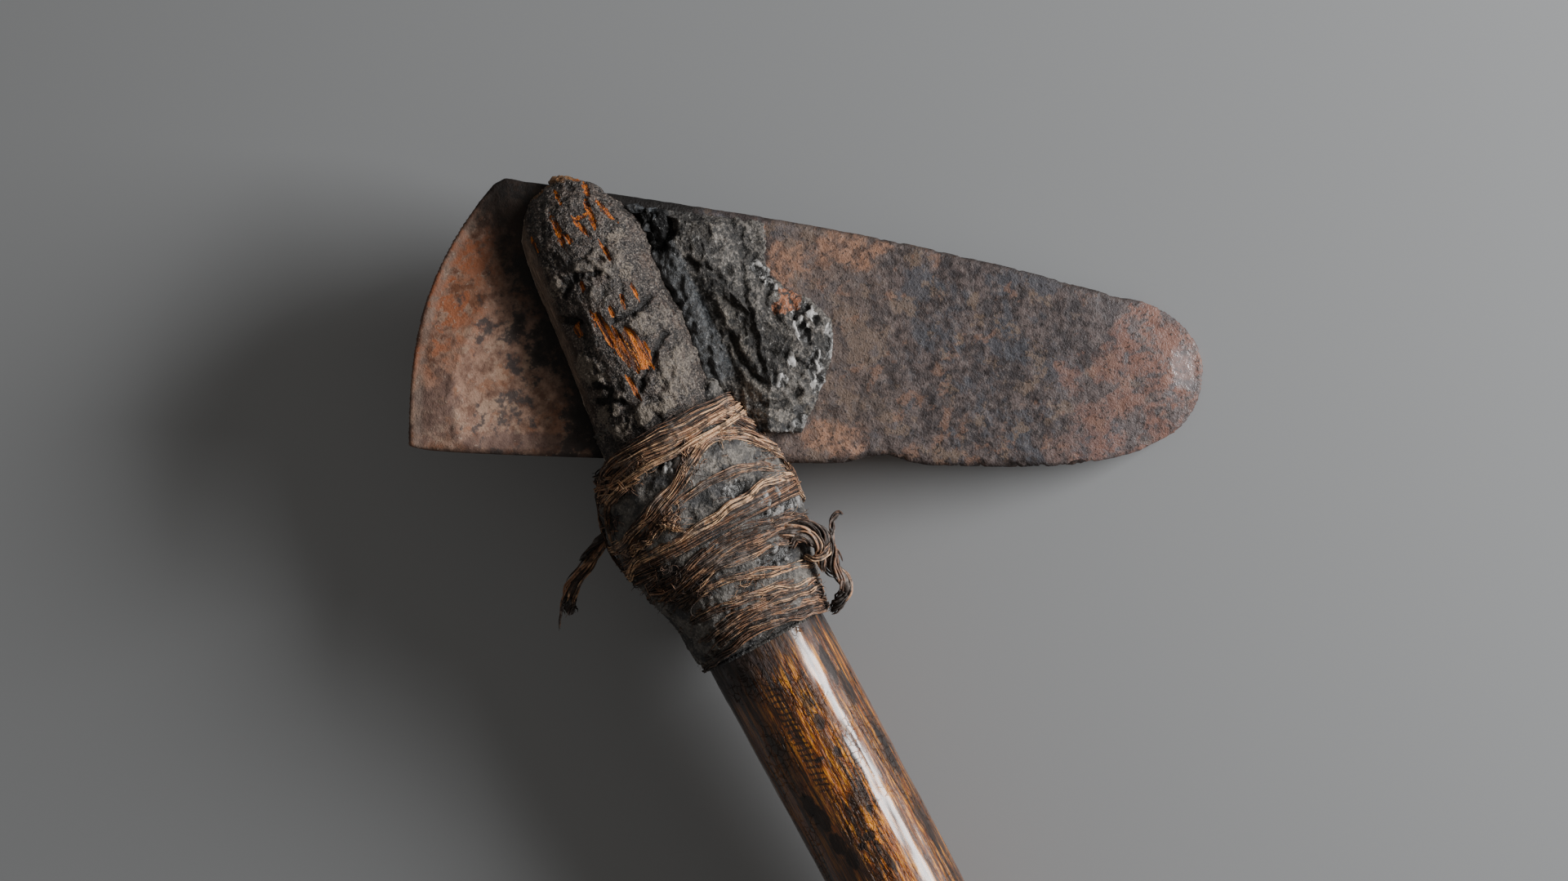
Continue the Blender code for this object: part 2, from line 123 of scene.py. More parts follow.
def patches(points, spots, ragged=0.35, size=1.6, seed=3.0, soft=0.35):
    """Weight of ragged oval patches. Each spot is x, y, half width, half height in mm, and a turn."""
    ripple = grain(points, size, 3, seed)
    best = np.full(len(points), 9.0)
    for x, y, wide, tall, turn in spots:
        c, s = math.cos(math.radians(turn)), math.sin(math.radians(turn))
        dx, dy = points[:, 0] / MM - x, points[:, 1] / MM - y
        away = np.hypot((dx * c + dy * s) / wide, (dy * c - dx * s) / tall)
        best = np.minimum(best, away)
    return step(1 + soft, 1 - soft, best + ragged * ripple)


def near_lines(points, lines, width, ragged=0.5, seed=8.0):
    """1 on the lines, each a row of x and y in mm, falling to 0 a width away."""
    best = np.full(len(points), 99.0)
    for line in lines:
        for (x, y), (x_end, y_end) in zip(line, line[1:]):
            px, py, dx, dy = points[:, 0] / MM - x, points[:, 1] / MM - y, x_end - x, y_end - y
            t = np.clip((px * dx + py * dy) / (dx * dx + dy * dy), 0, 1)
            best = np.minimum(best, np.hypot(px - t * dx, py - t * dy))
    return step(width, 0, np.abs(best) + ragged * grain(points, 2.6, 3, seed))


def paint(piece, name, weights):
    """Keeps a weight for each point, which the material reads."""
    layer = piece.data.attributes.new("seen_" + name, "FLOAT", "POINT")
    layer.data.foreach_set("value", np.clip(weights, 0, 1).astype(np.float32))


def raise_skin(piece, name, heights):
    """Moves the skin along its normals by heights in mm, as a painted group under one Displace."""
    most = float(np.abs(heights).max())
    group = piece.vertex_groups.new(name=name)
    for index in np.nonzero(np.abs(heights) > 0.004)[0].tolist():
        group.add([index], abs(float(heights[index])) / most, "REPLACE")
    apply_modifier(piece, "DISPLACE", strength=math.copysign(most, heights.sum()) * MM, vertex_group=name,
                   mid_level=0.0, direction="NORMAL")


def ridges(points, size, octaves=4, seed=0.0, gain=2.0):
    """Noise with sharp crests, from about 0 to 1."""
    scaled = points / (np.asarray(size, float) * MM) + seed
    return np.array([noise.ridged_multi_fractal(p, 0.9, 2.1, octaves, 1.0, gain)
                     for p in scaled.tolist()]) * 0.45


def facets_of(points, size, seed=0.0, area=None):
    """Height of broken-glass facets: each cell is a small tilted plane, from about -1 to 1."""
    scaled = points / (np.asarray(size, float) * MM) + seed
    found = np.zeros(len(points))
    chosen = range(len(points)) if area is None else np.nonzero(area > 0.01)[0].tolist()
    for index in chosen:
        place = Vector(scaled[index])
        _, centres = noise.voronoi(place)
        tilt = noise.cell_vector(centres[0] * 7.3)
        found[index] = (place - centres[0]).dot(tilt) * 1.6 + (noise.cell(centres[0] * 3.1) - 0.5) * 0.5
    return found


def press(piece, name, relief):
    """Raises what is above 0 in a relief in mm, then sinks what is below, and keeps it for the material."""
    raise_skin(piece, name + " out", np.clip(relief, 0, None))
    raise_skin(piece, name + " in", np.clip(relief, None, 0))
    paint(piece, "height", 0.5 + 0.5 * relief)
    print(piece.name, name, "from", round(float(relief.min()), 2), "to",
          round(float(relief.max()), 2), "mm")


def triangles(piece):
    """How many triangles the piece's mesh comes to."""
    return sum(len(face.vertices) - 2 for face in piece.data.polygons)


def lay_down(piece, node):
    """Lays the finished piece where its solid is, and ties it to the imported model."""
    piece.data.transform(LAID)
    select_only(piece)
    bpy.ops.object.shade_smooth()
    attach(piece, "root")
    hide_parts(node)
    print(piece.name, len(piece.data.vertices), "points,", triangles(piece), "triangles")


# %% [markdown]
# ## Camera
# The photograph looks straight at the blade's face, with the handle leaning to the right. The
# camera is placed in the upright frame, over the blade and turned by the handle's lean, then laid
# down with the hatchet.

# %% Camera
camera_data = bpy.data.cameras.new("camera")
camera_data.lens = 85
camera_data.sensor_width = 36
camera = bpy.data.objects.new("camera", camera_data)
bpy.context.scene.collection.objects.link(camera)
stand = Matrix.Translation((0.0272, -0.0466, 0.9067)) @ Matrix.Rotation(-LEAN, 4, "Z")
camera.matrix_world = LAID @ stand
bpy.context.scene.camera = camera
print("camera at", [round(v, 3) for v in camera.matrix_world.translation])

# %% [markdown]
# ## The blade
# A plate of hand-forged iron, thinner at its edges, with a few nicks and a coat of rust. It could
# be a plane with Solidify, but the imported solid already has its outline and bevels. So a copy gets
# a fine skin, slow swells as a hammer leaves them, rust pits in two sizes, and nicks along the
# narrow end's lower edge, which are pushed towards the middle of the plate.

# %% Blade: places on the plate
BLADE_CORNER = (-54.5, -4.3)
BLADE_LENGTH, BIT_HEIGHT, BIT_LEAN = 194.6, 66.0, 22.5
TIP_LENGTH, TIP_TOP, TOP_BULGE = 20.0, 36.4, 15.5
BELLY_DEPTH, BELLY_END = 5.0, 148.0
NOTCH_DEPTH, NOTCH_PLACE, NOTCH_WIDTH = 2.6, 116.0, 6.0


def on_blade(points):
    """Distance along the blade from its cutting edge, and up across it, in mm."""
    c, s = math.cos(LEAN), math.sin(LEAN)
    dx, dy = points[:, 0] / MM - BLADE_CORNER[0], points[:, 1] / MM - BLADE_CORNER[1]
    return dx * c - dy * s, dx * s + dy * c


def blade_edges(u):
    """Height of the lower and the upper edge at U."""
    s = np.clip((u - BIT_LEAN) / (BLADE_LENGTH - TIP_LENGTH - BIT_LEAN), 0, 1)
    upper = BIT_HEIGHT + (TIP_TOP - BIT_HEIGHT) * s + TOP_BULGE * s**1.4 * (1 - s)
    notch = NOTCH_DEPTH * np.exp(-(((u - NOTCH_PLACE) / NOTCH_WIDTH) ** 2))
    lower = -BELLY_DEPTH * np.sqrt(np.clip(u / BELLY_END, 0, 1)) + notch
    return lower, upper


# %% Blade: skin, swells, pits and nicks
blade = solid_copy("blade", "iron_blade")
fine_skin(blade, 0.60)
spots = points_of(blade)
u, v = on_blade(spots)
lower, upper = blade_edges(u)
near_lower = step(2.2, 0.2, v - lower) * step(40, 60, u)
near_upper = step(1.6, 0.2, upper - v)
nibble = np.clip(grain(spots, 2.6, 2, 5.0) + 0.15, 0, 1) * (0.35 + 0.65 * step(95, 130, u))
c, s = math.cos(LEAN), math.sin(LEAN)
shift = 1.5 * near_lower * nibble - 0.6 * near_upper * nibble
spots[:, 0] += shift * s * MM
spots[:, 1] += shift * c * MM
blade.data.vertices.foreach_set("co", spots.astype(np.float32).ravel())
rows = np.clip(np.round(v).astype(int) + 10, 0, 99)
cutting = np.full(100, 99.0)
np.minimum.at(cutting, rows, u)
from_edge = u - cutting[rows]
rim = np.maximum(step(1.5, 0.1, v - lower), step(1.5, 0.1, upper - v))
rim = np.maximum(rim, step(1.3, 0.3, from_edge) * step(40, 30, u))
bevel = step(0.8, 1.6, from_edge) * step(4.2, 2.4, from_edge) * step(40, 30, u)
paint(blade, "bevel", bevel)
paint(blade, "rim", rim)
relief = 0.22 * grain(spots, 16, 2, 2.0) + 0.10 * grain(spots, 4, 3, 6.0)
pits = step(0.28, 0.62, grain(spots, 2.2, 3, 9.0)) * (0.4 + 0.6 * step(60, 90, u))
scale = step(0.15, 0.5, grain(spots, 5.5, 4, 15.0)) * step(60, 90, u)
relief += -0.16 * pits + 0.14 * scale + 0.06 * grain(spots, 1.0, 2, 11.0)
press(blade, "relief", relief * (1 - 0.75 * rim))
lay_down(blade, "blade")

# %% [markdown]
# ## The haft
# One sapling, heated and bent over the blade, so that its two halves lie along the leg. Above the
# binding it wears a thin, crusted coat of resin, which has flaked off in strips and shows the orange
# wood. Below the binding it is bare, polished by hands. The two ends need skins of a different
# fineness, so two copies are cut off and overlap a little under the binding, where it can't be seen.
# The coat's lumps are noise with sharp crests, and its few deep steps are drawn as lines.

# %% Haft: two lengths from one solid
def cut_off(piece, height, keep_above):
    """Cuts the piece across at a height in mm and closes the cut."""
    select_only(piece)
    bpy.ops.object.mode_set(mode="EDIT")
    bpy.ops.mesh.select_all(action="SELECT")
    bpy.ops.mesh.bisect(plane_co=(0, height * MM, 0), plane_no=(0, 1, 0), use_fill=True,
                        clear_inner=keep_above, clear_outer=not keep_above)
    bpy.ops.object.mode_set(mode="OBJECT")


LEG_FOOT, HANDLE_TOP = -64, -60
leg = solid_copy("haft", "haft_leg")
cut_off(leg, LEG_FOOT, True)
fine_skin(leg, 0.44)
handle = solid_copy("haft", "haft_handle")
cut_off(handle, HANDLE_TOP, False)
fine_skin(handle, 0.82)

# %% Haft: where the leg is bare, dusty or crusted
bare_wood = [
    (1.9, -3.0, 1.3, 5.2, 8), (3.6, -9.0, 2.0, 6.8, 13), (6.9, -10.5, 2.1, 5.6, 8),
    (5.0, -13.2, 2.0, 2.4, 10), (1.4, -18.5, 0.6, 3.8, 0), (3.0, 23.5, 0.8, 4.4, -4),
    (-4.2, 0.2, 0.9, 1.7, 0),
    (8.3, 22.4, 0.6, 3.6, 12), (12.0, 24.0, 0.7, 3.8, -6), (10.0, 24.4, 2.8, 0.5, 0),
    (15.6, 22.8, 0.6, 3.6, 16), (5.4, 0.2, 0.4, 1.6, 0), (9.0, 1.2, 0.4, 1.8, -12),
    (12.6, 2.0, 0.4, 2.2, 0), (2.0, 9.0, 0.5, 1.5, -15), (13.8, 30.0, 0.6, 2.2, -8),
    (-3.8, 24.0, 0.4, 2.6, 0), (10.9, 14.5, 0.4, 3.0, 0), (6.8, 31.0, 0.4, 2.4, 0),
    (4.5, 20.8, 0.6, 1.4, 10), (13.2, 33.5, 2.0, 0.7, -30), (1.5, 35.6, 2.6, 0.6, -12),
]
dusty = [
    (9.0, -19.5, 3.0, 1.0, 25), (-6.0, -9.5, 3.2, 4.2, 20),
    (0.0, -25.6, 10.0, 1.8, 0), (-4.5, 11.5, 2.8, 2.6, 40),
    (13.5, 7.5, 2.6, 2.0, 20), (-7.5, -20.5, 3.6, 2.2, 20), (14.5, 16.0, 2.6, 1.4, 0),
    (-2.5, 17.0, 2.6, 1.0, 30),
]
crusts = [
    (13.0, -17.6, 6.0, 3.2, 28), (12.0, -6.2, 6.5, 3.0, -6), (-6.2, -9.6, 2.8, 4.4, 10),
    (2.0, -25.0, 12.0, 2.6, 4), (4.0, 6.0, 2.2, 1.6, 20), (-3.0, 12.6, 3.4, 1.4, 35),
    (8.0, 12.0, 6.0, 3.2, 0), (-5.0, -20.0, 5.0, 2.0, 24), (9.0, -23.0, 5.0, 2.0, 30),
]
spots = points_of(leg)
x_mm, y_mm, z_mm = (spots / MM).T
front = step(-2, 3, z_mm)
streak = grain(spots, (0.5, 6, 0.5), 2, 1.0)
bare = patches(spots, bare_wood, 0.45, (0.5, 4.0, 0.5), 2.0, 0.16) * front
back_strips = [(4, 16, 1.2, 6, 0), (10, 2, 1.4, 7, 5), (-2, -12, 1, 5, -5), (13, 24, 0.8, 4, 0)]
back_bare = patches(spots, back_strips, 0.6, (0.8, 4.0, 0.8), 9.0, 0.25) * (1 - front)
bare = np.maximum(bare, back_bare)
# The worn left side of the leg. The material paints it pale, as painted light on a side that faces away from
# the lamp.
side = step(-4.5, -7.0, x_mm - 0.14 * (y_mm - 15)) * step(-22, -6, y_mm)
side = np.clip(side * front * (0.75 + 0.5 * streak), 0, 1) * step(34, 28, y_mm)
dust = np.maximum(patches(spots, dusty, 0.5, 2.2, 4.0, 0.45) * front,
                  step(0.25, 0.6, grain(spots, 9, 3, 7.0)) * (1 - front))
crust = np.maximum(patches(spots, crusts, 0.4, 2.4, 6.0, 0.2) * front,
                   step(0.1, 0.4, grain(spots, 8, 3, 8.0)) * (1 - front))
crust = crust * (1 - bare) * (1 - side)
top = step(33.5, 36.5, y_mm + 0.25 * np.abs(x_mm - 6))
paint(leg, "bare", bare)
paint(leg, "side_wood_lit", side)
paint(leg, "dust", np.clip(dust, 0, 1))
paint(leg, "top", top)
# A thin line along the leg's left edge at the blade, painted near white as a painted highlight.
at_blade = step(2.4, 3.0, z_mm) * step(4.8, 3.9, z_mm) * step(0, -3, x_mm)
paint(leg, "edge", at_blade * step(-0.6, 0.1, grain(spots, (2, 7, 2), 2, 31.0)))
print("bare wood on", round(float(bare.mean()) * 100, 1), "% of the leg")

# %% Haft: the leg's relief
drawn_out = spots * np.array((1, 0.55, 1))
broad = ridges(drawn_out, 5.5, 3, 3.0)
flakes = ridges(drawn_out, 2.3, 4, 5.0)
coat_height = 0.85 * (broad - 0.45) + 0.70 * (flakes - 0.45) + 0.20 * grain(spots, 0.9, 3, 6.0)
coat_height += 0.40 * (ridges(drawn_out, 1.3, 3, 26.0) - 0.4)
rough_part = 0.7 + 0.4 * step(-0.25, 0.35, grain(spots, 7, 2, 17.0))
relief = coat_height * (rough_part + 0.5 * crust) + 0.55 * crust * (0.4 + flakes)
relief = relief * (1 - 0.9 * np.maximum(bare, 0.8 * side)) - 0.35 * bare + 0.22 * bare * streak
ledges = near_lines(spots, [
    [(2.5, -19), (8, -14.5), (14.5, -10.2)], [(-8, -17), (-3, -19.5)], [(-7, 5), (-3, 2)],
    [(5, -1.5), (11, -2.5), (16, -0.5)], [(-3, 9.5), (2, 12), (7, 10)],
    [(-6.5, -13), (-4, -16), (-6.5, -21)]], 1.1, 1.0) * front
relief += 0.5 * top * grain(spots, (0.7, 2.5, 0.7), 3, 4.0) - 1.1 * ledges * (1 - bare)
paint(leg, "ledge", ledges * (1 - bare))
press(leg, "relief", relief - 0.1)
lay_down(leg, "haft")

# %% Haft: the handle's slow hand-cut shape
spots = points_of(handle)
facets = grain(spots, (14, 90, 14), 2, 12.0)
furrows = step(0.15, 0.6, grain(spots, (1.2, 30, 1.2), 2, 14.0))
lumps = 0.12 * grain(spots, (4, 9, 4), 2, 18.0) + 0.04 * grain(spots, (1.8, 4, 1.8), 2, 19.0)
press(handle, "relief", 0.18 * facets - 0.10 * furrows + lumps)
lay_down(handle, "haft")

# %% [markdown]
# ## The resin
# Gum of a local plant, worked warm with ash and pressed round the joint. Broken places are dark and
# glassy, and the rest has gone dull and dusty. On the real hatchet it was pushed on in lumps, so the
# relief goes from large to small: folds, then crumbs, then grit. The broken places are left smoother
# and get small tilted planes, as broken glass has. Under the binding's first strip it is kept low.

# %% Resin: its areas
resin = solid_copy("resin", "resin_mass")
fine_skin(resin, 0.55)
spots = points_of(resin)
x_mm, y_mm, z_mm = (spots / MM).T
front = step(-2, 2, z_mm)
glassy_spots = [
    (43.7, -24.2, 1.7, 5.0, -8), (42.3, -35.4, 2.2, 5.4, -24), (33.5, -33.2, 2.2, 1.8, 10),
    (48.4, -31.0, 1.0, 5.5, -20), (47.6, -22.5, 1.2, 3.6, 14), (38.0, -29.5, 1.2, 2.6, 0),
    (42.0, -9.0, 1.6, 5.0, 6), (32.5, -45.0, 3.6, 2.0, 0),
    (11.5, -52.0, 3.4, 3.0, 0), (17.5, -58.5, 4.6, 3.2, 0), (12.0, -70.0, 5.0, 2.2, 0),
    (0.0, -38.5, 3.0, 1.8, 0), (22.5, -60.5, 2.2, 2.8, 0),
]
dusty_spots = [
    (27.5, -20, 4.4, 6.0, 0), (26.5, -31.5, 3.6, 4.4, 0), (36.0, -41.5, 5.0, 2.6, 20),
    (13.5, -44.5, 6.0, 2.4, 0), (18.5, -49.5, 3.6, 2.0, 0), (-9.5, -48.5, 4.0, 1.6, 0),
    (6.0, -70.5, 4.0, 2.0, 0), (-3.0, -59.0, 8.0, 2.0, 0), (33.0, 9.0, 5.0, 3.0, -30),
    (38.5, -20.5, 3.4, 2.6, 30), (14.0, -78.5, 3.0, 2.4, 0), (30.0, -12, 3.0, 4.0, 0),
    (28.0, -39.0, 3.0, 4.0, 20),
]
rusty_spots = [(45.5, -16.0, 3.6, 3.2, 20), (42.5, -17.5, 2.6, 2.0, 0), (48.5, -4.0, 2.0, 6.0, 0)]
glassy = patches(spots, glassy_spots, 0.4, 2.2, 21.0, 0.3)
glassy = np.where(spots[:, 2] > 0, glassy, step(0.3, 0.55, grain(spots, 10, 3, 31.0)))
dust = patches(spots, dusty_spots, 0.5, 2.6, 22.0, 0.5)
dust = np.where(spots[:, 2] > 0, dust, step(-0.1, 0.5, grain(spots, 9, 3, 33.0)))
rust = patches(spots, rusty_spots, 0.45, 1.8, 23.0, 0.25) * front
valley = step(5.5, 1.5, np.abs(x_mm - 22.8 - 0.05 * y_mm)) * front
valley *= step(-32, -22, y_mm)
dust = np.clip(dust * (1 - glassy) * (1 - 0.85 * valley), 0, 1)
paint(resin, "glassy", glassy)
paint(resin, "dust", dust)
paint(resin, "rust", rust)
paint(resin, "valley", valley)
outer = step(18.6, 19.6, np.hypot(x_mm - 5, z_mm)) * (1 - 0.7 * rust)
outer = np.maximum(outer, step(3.2, 3.8, np.abs(z_mm)) * step(19, 21, x_mm))
lump = outer * step(22, 24, x_mm) * step(-58, -46, y_mm)
hollow_spots = [(24.5, 12.5, 3.0, 5.0, -35), (23.0, 17.5, 2.6, 2.0, 0)]
hollow = patches(spots, hollow_spots, 0.5, 2.4, 27.0, 0.4) * front
creases = near_lines(spots, [
    [(39, -3), (36.5, -9), (34.5, -16), (32.5, -22), (30.5, -29)], [(30, -10), (34.5, -16)],
    [(27, 3), (32, -3), (38, -5.5)], [(33, -25), (38, -29), (41, -34)], [(44, -9.5), (39.5, -14), (40, -20)],
    [(26, -36), (30, -38.5), (36, -38)], [(28, -18), (27, -25), (28.5, -31)]], 1.3, 0.7) * front
paint(resin, "hollow", hollow)

# %% Resin: its relief
slanted = spots @ np.array(((0.82, 0.57, 0), (-0.57, 0.82, 0), (0, 0, 1.0)))
folds = ridges(spots * np.array((1, 0.42, 0.8)), 7.0, 3, 12.0)
crumbs = ridges(spots * np.array((1, 0.7, 1)), 2.6, 4, 14.0)
flats = facets_of(slanted, (1.5, 4.2, 2.2), 3.0, glassy) * step(3.4, 5.4, np.abs(z_mm))
skin_height = 1.6 * (folds - 0.5) * (0.35 + 0.9 * lump) + 0.95 * (crumbs - 0.45)
skin_height += 0.55 * (ridges(spots, 1.5, 3, 44.0) - 0.4) + 0.25 * grain(spots, 0.9, 3, 16.0)
relief = skin_height * (1 - 0.65 * glassy) + 0.95 * flats * glassy
paint(resin, "facet", 0.5 + 0.4 * flats)
wound = step(-36, -40, y_mm) * step(-86, -82, y_mm) * (1 - lump)
relief += wound * (0.5 + 0.8 * grain(spots, 8, 2, 25.0))
relief -= 0.5 * valley * step(0.1, 0.7, grain(spots, 3, 3, 19.0)) + 0.3 * rust + 1.8 * hollow
relief -= 0.6 * lump * step(-34, -28, y_mm) * step(38, 34, x_mm)
relief -= 1.1 * creases * (1 - 0.6 * glassy)
from_leg = x_mm - 19.7 - 0.08 * (y_mm + 4)
by_leg_side = step(7.5, 2.5, from_leg) * step(-30, -26, y_mm) * (1 - hollow)
by_leg_side *= step(20, 14, y_mm)
filled = 1.2 + 1.1 * (crumbs - 0.45) + 0.5 * grain(spots, 2, 3, 47.0)
relief = relief * (1 - 0.4 * by_leg_side) + by_leg_side * filled
outward = normals_of(resin) * np.array((1, 0, 1))
outward = np.sign((outward * (spots - np.array((5 * MM, 0, 0)))).sum(axis=1))
upper_rim = step(-33, -29.5, y_mm + 1.5 * grain(spots, 5, 2, 20.0)) * step(21, 19, x_mm)
upper_rim *= step(-22, -26, y_mm) * step(0.3, -1.5, from_leg)
first_strip = [(12, -31.5), (14.5, -32.2), (18.4, -35.2), (21.6, -39.5), (24, -44.5)]
bed = near_lines(spots, [first_strip], 4.0, 0.2) * front
relief = relief * (1 - 0.8 * bed) - 0.5 * bed
lower_rim = step(-84.6, -87.2, y_mm + 1.0 * grain(spots, 8, 2, 29.0))
relief = relief * (1 - upper_rim) * (1 - lower_rim) - 2.4 * upper_rim * outward
relief -= 1.0 * lower_rim * np.clip(outward, 0, 1)
press(resin, "relief", relief)
lay_down(resin, "resin")

# %% [markdown]
# ## The binding
# Strips of bast, wound while wet over the resin and dried into hard, split strands. Each strip is
# many fibres side by side, so a flat band with a bump map wouldn't do: its edge is ragged and its
# fibres cross and lift. It could be made of curves with a round bevel, one for each fibre. Here the
# tubes are written straight to a mesh, because each fibre then keeps its own shade and its length
# as an attribute, which the material needs. A strip's route is given by a few points as seen from
# the front or the back, and is laid on the swelling of the resin. Broken fibres lie over the strips,
# and short curled ones make a frizz where the real strips have come apart.

# %% Binding: the swelling that it lies on
LEG_TOP, LEG_HALF_WIDTH, LEG_REACH, LEG_SHIFT, HANDLE_RADIUS = 33.45, 16.1, 18.3, 6.2, 15.5
NARROWING, THINNING = 10.45, 11.2
CORE_BOTTOM, CORE_LENGTH, CORE_SKIN = -87.5, 61.5, 1.3
SWELL_LEFT, SWELL_RIGHT, SWELL_DEPTH = 5.0, 7.4, 3.4
BOXED, UNBOXED = 0.909, 1.1


def haft_section(y):
    """Centre, half width and half depth of the haft at Y, in mm, by the solid's own formula."""
    below = max(0.0, LEG_TOP - y)
    width = LEG_HALF_WIDTH - NARROWING * (0.72 * math.exp(-below / 5) + 0.28 * math.exp(-below / 32))
    depth = LEG_REACH - THINNING * (0.72 * math.exp(-below / 9) + 0.28 * math.exp(-below / 28))
    merge = float(step(-36, -90, y))
    width += (HANDLE_RADIUS - width) * merge
    depth += (HANDLE_RADIUS - depth) * merge
    return LEG_SHIFT * float(step(-55, 12, y)), width, depth


def swelling(y):
    """Centre, left reach, right reach and depth of the resin at Y, in mm."""
    centre, width, depth = haft_section(y)
    t = min(1.0, max(0.0, (y - CORE_BOTTOM) / CORE_LENGTH))
    left = width + CORE_SKIN + SWELL_LEFT * max(0, math.sin(math.pi * t**1.35)) ** 2.2
    right = width + CORE_SKIN + SWELL_RIGHT * max(0, math.sin(math.pi * t**1.15)) ** 1.45
    return centre, left, right, depth + CORE_SKIN + SWELL_DEPTH * math.sin(math.pi * t)


def on_swelling(y, angle, out):
    """The point at a height and an angle round the swelling, so many mm out from it."""
    centre, left, right, depth = swelling(y)
    c, s = math.cos(angle), math.sin(angle)
    x = centre + ((right if c > 0 else left) + out) * math.copysign(abs(c) ** BOXED, c)
    return Vector((x, y, (depth + out) * math.copysign(abs(s) ** BOXED, s))) * MM


def angle_at(x, y, side):
    """The angle round the swelling at which a point seen at (x, y) lies, on the front or the back."""
    centre, left, right, _ = swelling(y)
    c = (x - centre) / (right if x > centre else left)
    c = max(-0.9999, min(0.9999, c))
    return math.acos(math.copysign(abs(c) ** UNBOXED, c)) * side


# %% Binding: routes and fibres
def curve_through(knots, fine):
    """Points of a smooth curve from the second knot to just before the last but one."""
    found = []
    for p0, p1, p2, p3 in zip(knots, knots[1:], knots[2:], knots[3:]):
        for i in range(fine):
            t = i / fine
            found.append(0.5 * (2 * p1 + (p2 - p0) * t + (2 * p0 - 5 * p1 + 4 * p2 - p3) * t * t
                                + (3 * p1 - p0 - 3 * p2 + p3) * t**3))
    return found


def lengths_along(line):
    """How far along the line each of its points lies."""
    return np.concatenate([[0], np.cumsum(np.linalg.norm(np.diff(line, axis=0), axis=1))])


def unit(rows):
    """The same directions with a length of one."""
    return rows / np.linalg.norm(rows, axis=1)[:, None]


def beside(line, across, up, sideways, out):
    """The line moved sideways and out by so many mm at each row."""
    return line + across * (sideways * MM)[:, None] + up * (out * MM)[:, None]


def route(stops, closed, steps):
    """Evenly spaced (height, angle) pairs through stops given as x, y, side."""
    turned, last = [], None
    for x, y, side in stops:
        a = angle_at(x, y, side)
        while last is not None and a > last + 0.2:
            a -= 2 * math.pi
        last = a
        turned.append((y, a))
    if closed:
        turned.append((turned[0][0], turned[0][1] - 2 * math.pi))
    first = 2 * math.pi if closed else 0.0
    before = (turned[-2][0], turned[-2][1] + first) if closed else turned[0]
    after = (turned[1][0], turned[1][1] - first) if closed else turned[-1]
    knots = [before] + turned + [after]
    knots = [np.array(knot, float) for knot in knots]
    found = curve_through(knots, 12)
    found.append(found[0] - np.array((0, 2 * math.pi)) if closed else knots[-2])
    gone = lengths_along(np.array([on_swelling(y, a, 1.0) for y, a in found]))
    even = np.linspace(0, gone[-1], steps + 1)[:steps if closed else steps + 1]
    found = np.array(found)
    return np.interp(even, gone, found[:, 0]), np.interp(even, gone, found[:, 1])


class Fibres:
    """Collects thin tubes and makes one mesh of them."""

    def __init__(self):
        self.points, self.faces, self.shade, self.along, self.count = [], [], [], [], 0

    def add(self, line, across, up, radius, closed, shade, sides=4, flat=1.0):
        """One tube through the rows of line, with its cross axes, and a radius and shade for each row."""
        n, first = len(line), self.count
        turn = 2 * math.pi * (np.arange(sides) + 0.5) / sides
        ring = across[:, None] * np.cos(turn)[:, None] + up[:, None] * (np.sin(turn) * flat)[:, None]
        gone = lengths_along(line) / MM
        self.points.append((line[:, None] + np.asarray(radius)[:, None, None] * ring).reshape(-1, 3))
        self.shade.append(np.repeat(np.clip(np.broadcast_to(shade, n), 0, 1), sides))
        self.along.append(np.repeat(gone, sides))
        row = np.arange(n if closed else n - 1)[:, None]
        here, there = first + row * sides, first + (row + 1) % n * sides
        near, far = np.arange(sides), (np.arange(sides) + 1) % sides
        self.faces += np.stack([here + near, here + far, there + far, there + near],
                               -1).reshape(-1, 4).tolist()
        if not closed:
            self.faces.append([first + i for i in reversed(range(sides))])
            self.faces.append([first + (n - 1) * sides + i for i in range(sides)])
        self.count += n * sides

    def piece(self, name):
        mesh = bpy.data.meshes.new(name)
        mesh.from_pydata(np.concatenate(self.points).tolist(), [], self.faces)
        for key, values in (("seen_shade", self.shade), ("seen_along", self.along)):
            layer = mesh.attributes.new(key, "FLOAT", "POINT")
            layer.data.foreach_set("value", np.concatenate(values).astype(np.float32))
        made = bpy.data.objects.new(name, mesh)
        bpy.context.scene.collection.objects.link(made)
        return made


def lying(heights, angles, closed):
    """A line on the swelling, with the directions across it and out of it, at each row."""
    base = np.array([on_swelling(y, a, 0.0) for y, a in zip(heights, angles)])
    outer = np.array([on_swelling(y, a, 1.0) for y, a in zip(heights, angles)])
    along = unit(np.roll(base, -1, 0) - np.roll(base, 1, 0) if closed else np.gradient(base, axis=0))
    across = unit(np.cross(unit(outer - base), along))
    return base, across, np.cross(along, across)


